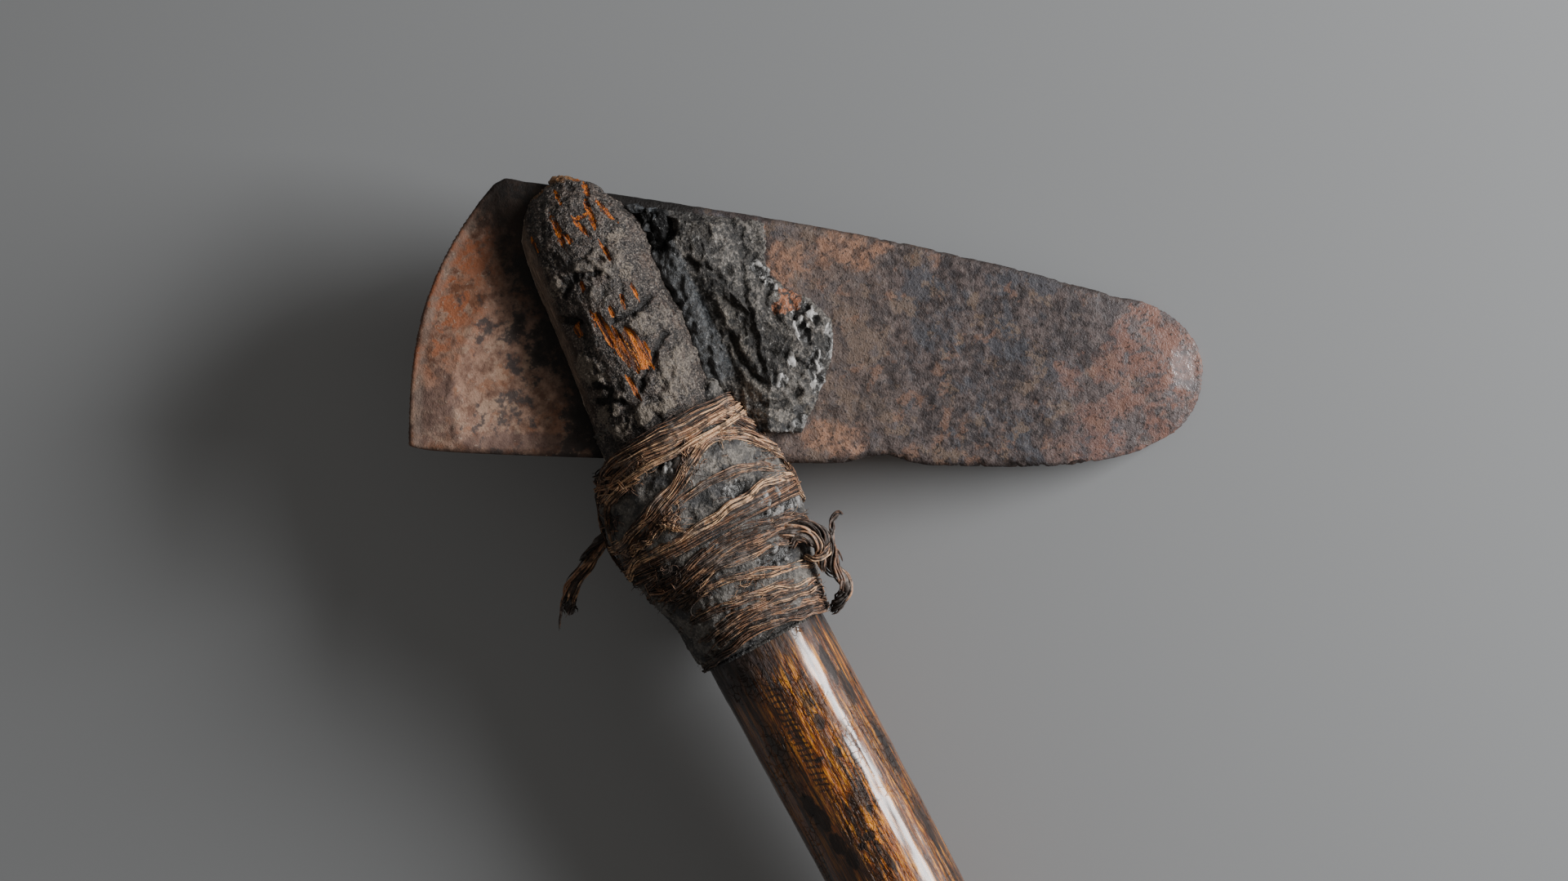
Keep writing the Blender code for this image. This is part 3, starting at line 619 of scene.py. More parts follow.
def strip(fibres, stops, width, count, seed, closed=True, steps=92, tone=0.5, lift=0.0, sink=0.0):
    """Lays one strip of bast: strands of a few fibres side by side, and short broken fibres over them."""
    heights, angles = route(stops, closed, steps)
    base, across, up = lying(heights, angles, closed)
    n = len(base)
    turn = 2 * math.pi * np.arange(n) / n
    drawn = random.Random(seed)

    def wander(key, size):
        return np.array([noise.noise((math.cos(t) * size, math.sin(t) * size, key)) for t in turn])

    def shiver(key, size, length=n):
        return np.array([noise.noise((k * size, key, 7.7)) for k in range(length)])

    buried = sink * step(115, 150, np.degrees(np.abs((angles + math.pi) % (2 * math.pi) - math.pi)))
    swell = 1 + 0.45 * wander(seed + 0.3, 3.0)
    taper = np.ones(n)
    if not closed:
        taper = np.minimum(1, np.minimum(np.arange(n), n - 1 - np.arange(n)) / 7 + 0.12)
    base = base + across * (0.6 * wander(seed + 5.1, 4.0) * MM)[:, None]
    middle = base + up * ((lift + 0.1 - buried) * MM)[:, None]
    fibres.add(middle, across, up, width * 0.44 * MM * swell * taper, closed, tone * 0.3, 8, 0.6 / width)
    strands = max(2, round(width * 1.05))
    each = max(3, round(count * 1.8 / strands))
    for j in range(strands):
        place = (j + 0.5) / strands * 2 - 1
        offset = (place * 0.46 + 0.30 * wander(seed * 3.1 + j * 1.7, 2.6)) * width * swell * taper
        height = lift + 0.1 + 0.35 * (1 - place**2) + 0.55 * wander(seed * 1.3 + j * 4.1, 4.0) - buried
        reach = 0.40 * taper * (1 + 0.5 * wander(seed * 2.2 + j * 3.3, 5.0))
        turns, shade = drawn.uniform(-3, 3), tone + drawn.uniform(-0.22, 0.22)
        for i in range(each):
            round_it = 2 * math.pi * i / each + turns * turn + 1.6 * wander(i * 3.9 + j + seed, 3.0)
            out = height + reach * (0.3 + np.sin(round_it)) + 0.10 * shiver(i * 5.9 + j + seed, 0.3)
            sideways = offset + reach * 1.25 * np.cos(round_it) + 0.14 * shiver(i * 2.3 + j + seed, 0.35)
            line = beside(base, across, up, sideways, out)
            thick = drawn.uniform(0.09, 0.20) * MM * (1 + 0.4 * wander(i * 3.3 + j, 6.0)) * taper
            # Fibres that stand further out are painted lighter and lower ones darker: painted light and
            # shade.
            fibres.add(line, across, up, thick, closed,
                       shade + drawn.uniform(-0.28, 0.28) + 0.28 * (out - height))
    for i in range(round(count * 2.8)):
        span = min(n - 1, drawn.randint(9, 34))
        rows = drawn.randrange(n if closed else n - span) + np.arange(span)
        rows = rows % n
        t = np.linspace(0, 1, span)
        first = drawn.uniform(-0.55, 0.55)
        offset = (first + drawn.uniform(-0.35, 0.35) * t) * width * swell[rows]
        offset += 0.45 * shiver(i * 1.9, 0.25, span)
        sprung = drawn.uniform(0.3, 1.3) if drawn.random() < 0.22 else 0.0
        out = lift + 0.45 + 0.5 * drawn.random() + 0.2 * shiver(i * 4.7, 0.4, span)
        out = out - buried[rows] + sprung * t**4
        line = beside(base[rows], across[rows], up[rows], offset, out)
        thick = drawn.uniform(0.09, 0.17) * MM * np.minimum(1, np.minimum(t, 1 - t) * 8 + 0.2)
        fibres.add(line, across[rows], up[rows], thick, False, tone + drawn.uniform(-0.45, 0.45), 3)


def wisps(fibres, low, high, count, seed):
    """Short fibres that have sprung loose, between two heights all round."""
    drawn = random.Random(seed)
    for i in range(count):
        y, angle = drawn.uniform(low, high), drawn.uniform(-math.pi, math.pi)
        t = np.linspace(0, 1, 10)
        length, rise = drawn.uniform(0.08, 0.3), drawn.uniform(0.4, 2.2)
        bend = drawn.uniform(-2.5, 2.5)
        base, across, up = lying(y + bend * t**2, angle + drawn.choice((-1, 1)) * length * t, False)
        out = 0.5 + rise * np.sin(t * drawn.uniform(1.2, 3.0)) * t
        thick = drawn.uniform(0.06, 0.12) * MM * (1.15 - t)
        fibres.add(base + up * (out * MM)[:, None], across, up, thick, False,
                   drawn.uniform(0.2, 1.0), 3)


def tangle(fibres, x, y, wide, tall, count, tone, seed):
    """A frizz of short curled fibres round one place on the front."""
    drawn = random.Random(seed)
    for i in range(count):
        t = np.linspace(0, 1, 13)
        heading = drawn.uniform(0, 2 * math.pi) + drawn.uniform(-3.5, 3.5) * t
        reach = drawn.uniform(1.5, 5.0) / len(t)
        xs = x + drawn.gauss(0, wide / 2) + reach * np.cumsum(np.cos(heading))
        ys = y + drawn.gauss(0, tall / 2) + 0.8 * reach * np.cumsum(np.sin(heading))
        base, across, up = lying(ys, np.array([angle_at(a, b, 1) for a, b in zip(xs, ys)]), False)
        out = 0.6 + drawn.uniform(0.1, 1.3) * np.sin(math.pi * t)
        thick = drawn.uniform(0.07, 0.16) * MM * (1.1 - 0.8 * t)
        fibres.add(base + up * (out * MM)[:, None], across, up, thick, False,
                   tone + drawn.uniform(-0.35, 0.35), 3)


# %% Binding: the strips of the upper half
def full_turns(fibres, first_seed, rows):
    """Lays closed strips: stops on the front and on the back, width, count, tone, lift and sink."""
    for n, (front, back, width, count, tone, lift, sink) in enumerate(rows):
        stops = [(x, y, 1) for x, y in front] + [(x, y, -1) for x, y in back]
        strip(fibres, stops, width, count, first_seed + n, tone=tone, lift=lift, sink=sink)


def open_strips(fibres, first_seed, rows):
    """Lays strips that end on the front: stops, width, count, steps, tone and lift."""
    for n, (front, width, count, steps, tone, lift) in enumerate(rows):
        strip(fibres, [(x, y, 1) for x, y in front], width, count, first_seed + n, False, steps, tone, lift)


def tangles(fibres, first_seed, rows):
    """Lays frizzes: x, y, wide, tall, count and tone."""
    for n, row in enumerate(rows):
        tangle(fibres, *row, first_seed + n)


upper = Fibres()
full_turns(upper, 1, (
    (((-17, -36), (-10, -32.6), (-5, -31.7), (0, -31.6), (5, -31.6), (10, -31.4), (14.5, -32.2),
      (18.4, -35.2), (21.6, -39.5), (24, -44.5), (25.8, -51), (26.4, -57)),
     ((25.5, -54), (23, -45), (18, -37), (10, -34), (0, -33.5), (-10, -34.5)), 4.8, 14, 0.45, 0.0, 0.0),
    (((-17.5, -39), (-12, -36.2), (-7, -34.9), (-3, -34.8), (3, -35), (8, -34.7), (13, -34.0),
      (17, -34.6), (20.5, -38), (23.5, -44), (25.6, -52), (26, -58)),
     ((25, -55), (22, -47), (15, -41), (5, -39), (-8, -38)), 2.6, 9, 0.62, 0.4, 0.0),
    (((-20, -50.6), (-16, -49.4), (-11, -47.6), (-5, -45.5), (0, -43.8), (4, -40.9), (8, -38.7),
      (12, -37.6), (15.5, -38.4), (19, -41.2), (22, -45), (24.8, -49.5), (26.3, -54), (26.2, -59)),
     ((24, -55), (18, -49), (8, -46), (-6, -47), (-16, -50)), 3.0, 11, 0.66, 0.2, 0.0),
    (((-20.5, -54), (-14, -51.8), (-8, -49.6), (-3, -48.2), (3, -46.7), (8, -46.8), (13, -47.3),
      (17, -48.4), (21, -50.7), (24, -53.5), (25.8, -57.5)),
     ((24, -57), (16, -53), (4, -51), (-10, -52)), 2.3, 8, 0.5, 0.0, 0.0),
    (((-21, -58), (-17.5, -55.8), (-10, -56), (-5, -56), (0, -55.3), (6, -54.7), (12, -54.3),
      (17, -53.2), (21, -53.8), (24.3, -56), (25.3, -60)),
     ((23, -61), (14, -57.5), (2, -56), (-12, -57.5)), 2.2, 9, 0.8, 0.35, 0.0)))
open_strips(upper, 6, (
    (((-20, -53), (-13, -52.6), (-7, -50.6), (-1, -49.6)), 1.8, 6, 46, 0.55, 0.5),
    (((-13, -30.8), (-16.5, -34), (-19.5, -39), (-21.8, -45), (-22.4, -50), (-21.5, -55), (-20.5, -60)),
     3.2, 9, 60, 0.5, 0.7),
    (((-11.5, -33), (-15, -36.5), (-17.5, -41), (-19.5, -46), (-20.5, -51)), 2.4, 7, 46, 0.75, 1.0),
    (((1.5, -43), (4.3, -39), (5.8, -36.4), (7.4, -35.4)), 1.4, 5, 30, 0.7, 0.7),
    (((-10, -36), (-8, -38.4), (-6, -38.9), (-7.8, -37), (-11, -34.6)), 1.1, 4, 30, 0.95, 0.9),
    (((-8.5, -49.6), (-6, -52), (-3.6, -54.6)), 1.0, 4, 24, 0.9, 0.9)))
tangles(upper, 70, (
    (-11, -36.7, 4.0, 3.0, 70, 0.45), (-5.5, -35.6, 2.6, 1.4, 40, 0.9), (-5.6, -50.4, 2.4, 2.4, 60, 0.65),
    (14, -38.8, 2.0, 1.4, 24, 0.8), (3.5, -42.5, 2.4, 2.0, 24, 0.6), (22, -47, 2.4, 3.0, 30, 0.6),
    (-18, -44, 1.8, 4.0, 40, 0.4)))
wisps(upper, -56, -31, 110, 61)
binding_upper = upper.piece("binding_upper_turns")
lay_down(binding_upper, "binding")

# %% Binding: the strips of the lower half
low = Fibres()
open_strips(low, 21, (
    (((4, -54.6), (-5, -55.9), (-13, -57), (-17.8, -59.6), (-18.6, -62.4), (-15, -64.4), (-9, -63.8),
      (-3, -62.6), (4, -62.2), (12, -62.6), (18, -63.6), (23, -65.2)), 2.8, 9, 100, 0.45, 0.35),))
full_turns(low, 22, (
    (((-21, -64.5), (-15, -64.3), (-10, -63), (-5, -61.4), (0, -60.3), (5, -60.2), (10, -60.9),
      (15, -62), (20, -64), (23.5, -66)),
     ((22, -66), (12, -62), (0, -61), (-12, -63)), 2.2, 8, 0.5, 0.1, 0.0),
    (((-20, -67.4), (-12, -66), (-6, -64.5), (0, -63.4), (6, -63.6), (12, -64.2), (18, -65.4), (23, -67.6)),
     ((21, -68.5), (10, -66), (-2, -65.5), (-13, -67)), 2.8, 10, 0.55, 0.3, 0.5),
    (((-19.4, -70), (-13, -68.2), (-7, -66.8), (0, -66), (6, -66.4), (12, -67), (17, -68), (21.5, -70)),
     ((20, -71.5), (9, -69.5), (-4, -69), (-14, -70)), 2.8, 10, 0.42, 0.15, 0.7),
    (((-19, -73), (-12, -70.4), (-6, -69.1), (0, -69.7), (5, -71.4), (10, -73), (15, -74.6), (19.8, -76.5)),
     ((18, -76.5), (8, -74), (-4, -72.5), (-14, -73)), 2.2, 8, 0.62, 0.1, 0.9),
    (((-18.2, -76), (-12, -74.6), (-5, -74.3), (0, -75.2), (6, -76.6), (12, -77.9), (18.6, -80)),
     ((16, -80.5), (6, -78), (-5, -76.5), (-14, -76.5)), 2.8, 10, 0.58, 0.2, 1.1),
    (((-17.2, -80), (-10, -79.3), (-4, -78.3), (2, -78.8), (8, -79.9), (14, -81), (17.8, -83)),
     ((15, -83.5), (5, -81.5), (-6, -80.5), (-14, -80.5)), 2.6, 9, 0.48, 0.3, 1.1),
    (((-16, -83.4), (-10, -82.2), (-4, -81.1), (2, -81.4), (8, -82.4), (13, -83.8), (16.8, -85.6)),
     ((14, -86), (4, -84.5), (-6, -83.5), (-13, -83.5)), 2.6, 9, 0.56, 0.15, 1.1),
    (((-14.8, -86), (-9, -85), (-3, -83.9), (3, -84), (9, -85), (13, -86.3), (15.6, -87)),
     ((12, -87), (3, -86.6), (-6, -86), (-12, -86)), 1.8, 7, 0.5, 0.1, 0.9)))
tangles(low, 80, (
    (-14, -60.6, 4.0, 3.0, 80, 0.3), (-8, -68.5, 4.0, 2.4, 60, 0.35), (-15, -66, 2.4, 2.0, 40, 0.45),
    (16, -63, 3.0, 1.6, 24, 0.7), (4, -72.5, 4.0, 1.4, 24, 0.6)))
wisps(low, -86, -56, 110, 62)
binding_lower = low.piece("binding_lower_turns")
lay_down(binding_lower, "binding")

# %% [markdown]
# ## The knot and the loose ends
# On the right the strip ends in a knot, and its twisted end hangs down from it. On the left a worn
# end sticks out and has split. Both are bundles of the same fibres, but they leave the surface, so
# their routes are given in the open and each fibre winds round the bundle's middle line.

# %% Knot and loose ends
def smooth_line(stops, steps):
    """A curve through the stops, in mm, in so many even steps."""
    stops = [np.array(p, float) for p in stops]
    knots = [2 * stops[0] - stops[1]] + stops + [2 * stops[-1] - stops[-2]]
    found = np.array(curve_through(knots, 16) + [stops[-1]])
    gone = lengths_along(found)
    even = np.linspace(0, gone[-1], steps + 1)
    return np.stack([np.interp(even, gone, found[:, i]) for i in range(3)], 1) * MM


def bundle(fibres, stops, radii, count, twist, seed, steps=48, tone=0.5, splay=0.0, core=0.7, flat=1.0):
    """Fibres twisted round a middle line. Radii are in mm at even places along it."""
    line = smooth_line(stops, steps)
    n = len(line)
    along = unit(np.gradient(line, axis=0))
    across = unit(np.cross(along, np.array((0.05, 0.1, 1.0))))
    up = np.cross(across, along) * -1
    t = np.linspace(0, 1, n)
    radius = np.interp(t, np.linspace(0, 1, len(radii)), radii)
    drawn = random.Random(seed)
    tip = np.minimum(1, (1 - t) * 9 + 0.15) * np.minimum(1, t * 12 + 0.3)
    if core:
        fibres.add(line, across, up, radius * core * MM * tip, False, tone * 0.45, 8, flat)
    for i in range(count):
        start = 2 * math.pi * i / count + drawn.uniform(-0.3, 0.3)
        angle = start + twist * 2 * math.pi * t * (1 + drawn.uniform(-0.12, 0.12))
        wave = np.array([noise.noise((x * 5, i * 3.7, seed)) for x in t])
        reach = radius * (0.85 + 0.5 * wave + splay * t**3 * drawn.uniform(0, 1.6))
        if drawn.random() < 0.25:
            reach *= 0.5
        end = n if drawn.random() < 0.6 else int(n * drawn.uniform(0.75, 1))
        place = beside(line, across, up, reach * np.cos(angle), reach * flat * np.sin(angle))[:end]
        thick = float(np.mean(radii)) * (2.4 / count + 0.05) * drawn.uniform(0.8, 1.25)
        ends = np.minimum(1, (len(place) - 1 - np.arange(len(place))) / 6 + 0.15)
        fibres.add(place, across[:end], up[:end], thick * MM * ends, False,
                   min(1, max(0, tone + drawn.uniform(-0.35, 0.35))))


ends = Fibres()
bundle(ends, [(14.0, -66.0, 15.4), (17.6, -66.6, 15.0), (21.4, -67.8, 13.6), (24.0, -70.8, 11.6),
              (24.0, -75.0, 10.2), (23.2, -79.0, 9.2), (24.0, -83.0, 8.0), (23.4, -85.8, 7.4),
              (21.4, -87.6, 7.0)], [1.3, 2.0, 2.3, 2.3, 2.1, 1.9, 1.8, 1.5, 1.0], 20, 1.1, 41, 66, 0.5, 0.1)
bundle(ends, [(22.6, -85.6, 7.4), (20.6, -87.3, 6.9), (18.6, -88.4, 6.5), (17.4, -88.6, 6.3)],
       [1.2, 1.7, 1.3, 0.7], 11, 0.4, 42, 20, 0.12, 0.5)
bundle(ends, [(16.6, -70.0, 14.4), (18.6, -68.4, 15.4), (21.2, -69.8, 14.8), (22.4, -73.0, 12.8),
              (21.4, -76.0, 11.4), (20.6, -79.2, 10.0)],
       [0.8, 1.4, 1.9, 1.8, 1.3, 0.6], 14, 0.6, 43, 44, 0.62)
bundle(ends, [(18.2, -73.6, 12.4), (20.0, -75.4, 13.4), (22.8, -75.4, 13.0), (25.4, -73.2, 11.0)],
       [0.5, 1.0, 1.1, 0.6], 9, 0.5, 44, 30, 0.75)
bundle(ends, [(24.2, -79.6, 9.0), (25.2, -76.4, 9.6), (26.0, -73.6, 9.4), (27.4, -71.4, 9.0),
              (28.4, -69.3, 8.6), (30.4, -68.3, 8.4), (31.2, -69.2, 8.2)],
       [0.5, 0.6, 0.5, 0.55, 0.7, 0.65, 0.4], 5, 1.2, 45, 40, 0.3, 0.4, 0.6)
bundle(ends, [(25.0, -74.0, 9.4), (26.0, -76.6, 9.2), (25.8, -79.2, 9.0)],
       [0.25, 0.3, 0.15], 3, 0.6, 46, 16, 0.4)
bundle(ends, [(-19.5, -46.0, 1.0), (-23.5, -46.4, 0.6), (-27.0, -47.4, 0.2), (-30.8, -49.0, -0.2)],
       [1.0, 1.0, 0.8, 0.35], 7, 0.5, 47, 30, 0.1, 0.3, 0.7)
bundle(ends, [(-20.0, -44.8, 0.5), (-24.5, -48.0, 0.0), (-29.5, -50.6, -0.6), (-33.0, -52.0, -1.0),
              (-36.4, -54.4, -1.3), (-38.4, -57.2, -1.5)], [1.2, 1.2, 1.1, 1.6, 2.0, 1.5], 16, 0.35, 48, 50,
       0.72, 0.35, 0.75, 0.6)
bundle(ends, [(-37.2, -55.6, -1.3), (-38.6, -57.6, -1.5), (-38.8, -59.6, -1.6)],
       [1.2, 1.7, 1.2], 11, 0.5, 49, 18, 0.08, 0.6, 0.8, 0.7)
bundle(ends, [(-35.4, -52.4, -1.0), (-38.8, -55.2, -1.2), (-41.6, -58.6, -1.6), (-43.6, -61.6, -1.9)],
       [0.35, 0.35, 0.3, 0.15], 3, 0.8, 50, 26, 0.6, 0.4)
loose = ends.piece("binding_knot_and_ends")
lay_down(loose, "binding")

# %% [markdown]
# ## Shader maths
# Materials are written as sums. A Knob wraps one output of a node, and adding or multiplying knobs
# makes the Math nodes. Two calls do the rest: one adds any node, one mixes colours.

# %% A small class for shader maths
class Knob:
    """One output socket, which takes part in Python expressions."""

    def __init__(self, work, socket):
        self.work, self.socket = work, socket

    def math(self, operation, *others):
        return self.work.node("ShaderNodeMath", {"operation": operation}, {0: self, **{
            n + 1: other for n, other in enumerate(others)}})

    def __add__(self, other): return self.math("ADD", other)
    def __radd__(self, other): return self.math("ADD", other)
    def __mul__(self, other): return self.math("MULTIPLY", other)
    def __rmul__(self, other): return self.math("MULTIPLY", other)
    def __sub__(self, other): return self.math("SUBTRACT", other)

    def __rsub__(self, other):
        return self.work.node("ShaderNodeMath", {"operation": "SUBTRACT"}, {0: other, 1: self})

    def most(self, other): return self.math("MAXIMUM", other)
    def size(self): return self.math("ABSOLUTE")

    def ramp(self, low, high):
        """0 at low and 1 at high, or the other way round, with soft ends."""
        return self.work.node("ShaderNodeMapRange", {"interpolation_type": "SMOOTHSTEP"}, {
            "Value": self, "From Min": min(low, high), "From Max": max(low, high),
            "To Min": 0.0 if low < high else 1.0, "To Max": 1.0 if low < high else 0.0})


def srgb(*shades):
    """A colour as an eye or a screen counts it, 0 to 255, turned into light."""
    return tuple(((v / 255 + 0.055) / 1.055) ** 2.4 if v > 10 else v / 3294 for v in shades) + (1.0,)


class Finish:
    """One material, with its nodes."""

    def __init__(self, name, **fixed):
        self.material = bpy.data.materials.new(name)
        self.material.use_nodes = True
        self.tree = self.material.node_tree
        self.shader = self.tree.nodes["Principled BSDF"]
        for key, value in fixed.items():
            self.shader.inputs[key.replace("_", " ")].default_value = value
        place = self.node("ShaderNodeTexCoord", output="Object")
        self.upright = self.node("ShaderNodeMapping", {"vector_type": "TEXTURE"}, {
            "Vector": place, "Location": LAID_MOVE, "Rotation": LAID_TURN})

    def node(self, kind, settings=None, sockets=None, output=0):
        made = self.tree.nodes.new(kind)
        for key, value in (settings or {}).items():
            if key == "stops":
                for n, (where, shade) in enumerate(value):
                    stop = made.color_ramp.elements[n] if n < 2 else made.color_ramp.elements.new(where)
                    stop.position, stop.color = where, shade
            else:
                setattr(made, key, value)
        for key, value in (sockets or {}).items():
            if isinstance(value, Knob):
                self.tree.links.new(value.socket, made.inputs[key])
            else:
                made.inputs[key].default_value = value
        return Knob(self, made.outputs[output])

    def noise(self, size, detail=3.0, rough=0.55, stretch=(1, 1, 1), lean=0.0, warp=0.0):
        """Noise of about this size in mm, drawn out along any axis, in the upright frame."""
        place = self.node("ShaderNodeMapping", {"vector_type": "POINT"}, {
            "Vector": self.upright, "Rotation": (0, 0, lean), "Scale": tuple(1 / k for k in stretch)})
        return self.node("ShaderNodeTexNoise", {}, {
            "Vector": place, "Scale": 1000 / size, "Detail": detail, "Roughness": rough, "Distortion": warp})

    def cell_edges(self, size, bend):
        """Distance to the edge of cells of about this size in mm, bent by noise by so many mm."""
        sway = self.node("ShaderNodeTexNoise", {}, {"Vector": self.upright, "Scale": 700 / size}, 1)
        place = self.node("ShaderNodeVectorMath", {"operation": "MULTIPLY_ADD"}, {
            0: sway, 1: (bend * MM,) * 3, 2: self.upright})
        return self.node("ShaderNodeTexVoronoi", {"feature": "DISTANCE_TO_EDGE"}, {
            "Vector": place, "Scale": 1000 / size})

    def painted(self, name):
        return self.node("ShaderNodeAttribute", {"attribute_name": "seen_" + name}, output=2)

    def along(self, axis):
        """Place along one axis of the upright frame, in mm."""
        return self.node("ShaderNodeSeparateXYZ", {}, {"Vector": self.upright}, axis) * 1000.0

    def mix(self, share, first, second):
        return self.node("ShaderNodeMix", {"data_type": "RGBA"}, {0: share, 6: first, 7: second}, 2)

    def over(self, base, *layers):
        """Lays shades over a base, one after the other, each with its share."""
        for share, shade in layers:
            base = self.mix(share, base, shade)
        return base

    def set(self, **links):
        for key, value in links.items():
            self.tree.links.new(value.socket, self.shader.inputs[key.replace("_", " ")])
        print(self.material.name, "has", len(self.tree.nodes), "nodes")

    def bump(self, height, distance, strength=1.0, below=None):
        sockets = {"Height": height, "Distance": distance * MM, "Strength": strength}
        if below:
            sockets["Normal"] = below
        return self.node("ShaderNodeBump", {}, sockets)


# %% [markdown]
# ## Rusty iron
# The cutting end is a warm, pinkish rust with orange by its curved edge and a few grey stains. The
# rest is a dark grey-brown, clouded with blue-grey, tan and orange, browner by the resin and redder
# at the narrow end. It's layered as rust is: a dark ground, brown clouds, then finer freckles. Each
# layer is a share of the surface and a shade. Last come the near black beside the leg, partly a stain
# and partly the leg's shadow painted in, and a pale spot at the tip, partly wear and partly a painted
# glint.

# %% Iron: noises and places
iron = Finish("rusty iron", Specular_IOR_Level=0.42)
turned = iron.node("ShaderNodeMapping", {"vector_type": "TEXTURE"}, {
    "Vector": iron.upright, "Rotation": (0, 0, -LEAN),
    "Location": (BLADE_CORNER[0] * MM, BLADE_CORNER[1] * MM, 0)})
u_place, v_place = (iron.node("ShaderNodeSeparateXYZ", {}, {"Vector": turned}, n) * 1000.0 for n in (0, 1))
clouds = iron.noise(17, 4, 0.6)
blots = iron.noise(6, 4, 0.65)
mottle = iron.noise(3.4, 4, 0.62)
freckles = iron.noise(2.0, 3, 0.6)
specks = iron.noise(0.9, 2, 0.6)
finest = iron.noise(0.45, 2, 0.6)
hues = iron.noise(5.8, 4, 0.64, (1.2, 1, 1))
tans = iron.noise(6.8, 4, 0.66, (1, 1.1, 1), 0.9)
blues = iron.noise(7.8, 4, 0.66, (1, 1.3, 1), 2.0)
warm_end = (u_place + (clouds - 0.5) * 22.0).ramp(60, 44)
red_end = (u_place + (clouds - 0.5) * 40.0).ramp(150, 186)
by_resin = (u_place + (blots - 0.5) * 26.0).ramp(128, 104) * u_place.ramp(84, 96)
# Near black beside the leg: partly a stain, partly the leg's cast shadow painted onto the blade.
by_leg_shadow_and_stain = (u_place + v_place * 0.45 + (blots - 0.5) * 18.0).ramp(33, 48)


def iron_patch(u, v, wide, tall):
    """Weight of one ragged patch on the blade, by its place along and across it in mm."""
    along_it, across_it = (u_place - u) * (1 / wide), (v_place - v) * (1 / tall)
    return (along_it * along_it + across_it * across_it + (mottle + blots - 1.0) * 3.5).ramp(1.4, 0.3)


# %% Iron: the dark part
low_tip = (red_end - (v_place - 24.0) * 0.02 + (hues - 0.5) * 3.0).ramp(0.45, 0.75)
low_tip = low_tip * (hues * 0.7 + freckles * 0.3).ramp(0.44, 0.54)
tan_edge = iron_patch(107, 48, 9, 4.5).most(iron_patch(93, 45, 6, 6)).most(iron_patch(104, 2, 8, 4))
tan_shade = iron.mix(freckles.ramp(0.4, 0.6), srgb(120, 92, 78), srgb(182, 134, 106))
dark_side = iron.over(
    iron.mix((blots * 0.4 + freckles * 0.6).ramp(0.38, 0.62), srgb(54, 47, 47), srgb(102, 89, 86)),
    (blues.ramp(0.50, 0.60) * 0.75, srgb(74, 75, 81)),
    ((by_resin * 0.06 + tans).ramp(0.56, 0.62) * 0.6, srgb(124, 104, 88)),
    (by_resin * (freckles * 0.9 - 0.05), srgb(126, 108, 98)),
    (hues.ramp(0.56, 0.64) * 0.5, srgb(142, 106, 86)),
    (red_end * 0.6, srgb(112, 101, 100)),
    (low_tip * red_end * 0.6, srgb(150, 102, 84)),
    ((blots * 0.4 + blues * 0.6).ramp(0.47, 0.40) * 0.5, srgb(62, 59, 62)),
    ((freckles * 0.5 + specks * 0.5).ramp(0.54, 0.66) * 0.4, srgb(146, 134, 128)),
    (tan_edge * 0.6, tan_shade))

# %% Iron: the warm cutting end
edge_glow = (v_place * 0.34 - u_place + (blots - 0.5) * 30.0 - 2.0).ramp(-16, 0)
edge_glow = edge_glow * v_place.ramp(10, 26) * v_place.ramp(64, 48)
corner = iron_patch(7, 10, 6, 9).most(iron_patch(24, 1, 16, 2.5))
stain = (blots * 0.7 + clouds * 0.3 + (u_place - 26.0) * 0.006).ramp(0.50, 0.57)
warm_side = iron.over(
    iron.mix((mottle * 0.6 + freckles * 0.4).ramp(0.38, 0.62), srgb(132, 98, 82), srgb(198, 160, 138)),
    (clouds.ramp(0.45, 0.6) * 0.4, srgb(186, 148, 130)),
    (tans.ramp(0.52, 0.60) * 0.5, srgb(178, 122, 90)),
    (hues.ramp(0.55, 0.62) * 0.5, srgb(214, 182, 158)),
    (edge_glow * mottle.ramp(0.44, 0.58) * 0.9, srgb(190, 114, 76)),
    (edge_glow * mottle.ramp(0.47, 0.38) * 0.6, srgb(126, 78, 56)),
    (corner * 0.5, srgb(96, 82, 82)),
    (stain * 0.85, srgb(88, 82, 82)))

# %% Iron: both parts together
# A pale, glossy spot at the tip: the lower roughness is wear, the paler colour a painted glint.
worn_tip_and_glint = iron_patch(189.8, 19.5, 3.2, 6.0)
rusty = iron.over(
    iron.mix(warm_end, dark_side, warm_side),
    (specks.ramp(0.58, 0.65) * (0.75 - warm_end * 0.5), srgb(42, 37, 36)),
    (iron.painted("bevel") * 0.5, srgb(168, 150, 138)),
    (iron.painted("rim") * 0.65, srgb(52, 44, 41)),
    ((freckles * 0.3 + specks * 0.7).ramp(0.60, 0.68) * warm_end * 0.5, srgb(226, 198, 178)),
    # Painted shadow and stain: the blade goes near black beside the leg.
    (by_leg_shadow_and_stain * u_place.ramp(78, 66) * 0.95, srgb(20, 17, 15)),
    (worn_tip_and_glint * 0.35, srgb(176, 172, 174)))
gloss = 0.62 - red_end * 0.10 - worn_tip_and_glint * 0.35 + (freckles - 0.5) * 0.4 - finest.ramp(0.62, 0.70) * 0.25
grit_height = specks * 0.6 + freckles * 0.5 + finest * 0.4
grit = iron.bump(grit_height * (1.0 - warm_end * 0.5 - worn_tip_and_glint * 0.5) + blots * 0.8, 0.32, 0.9)
iron.set(Base_Color=rusty, Roughness=gloss, Normal=grit)
blade.data.materials.append(iron.material)
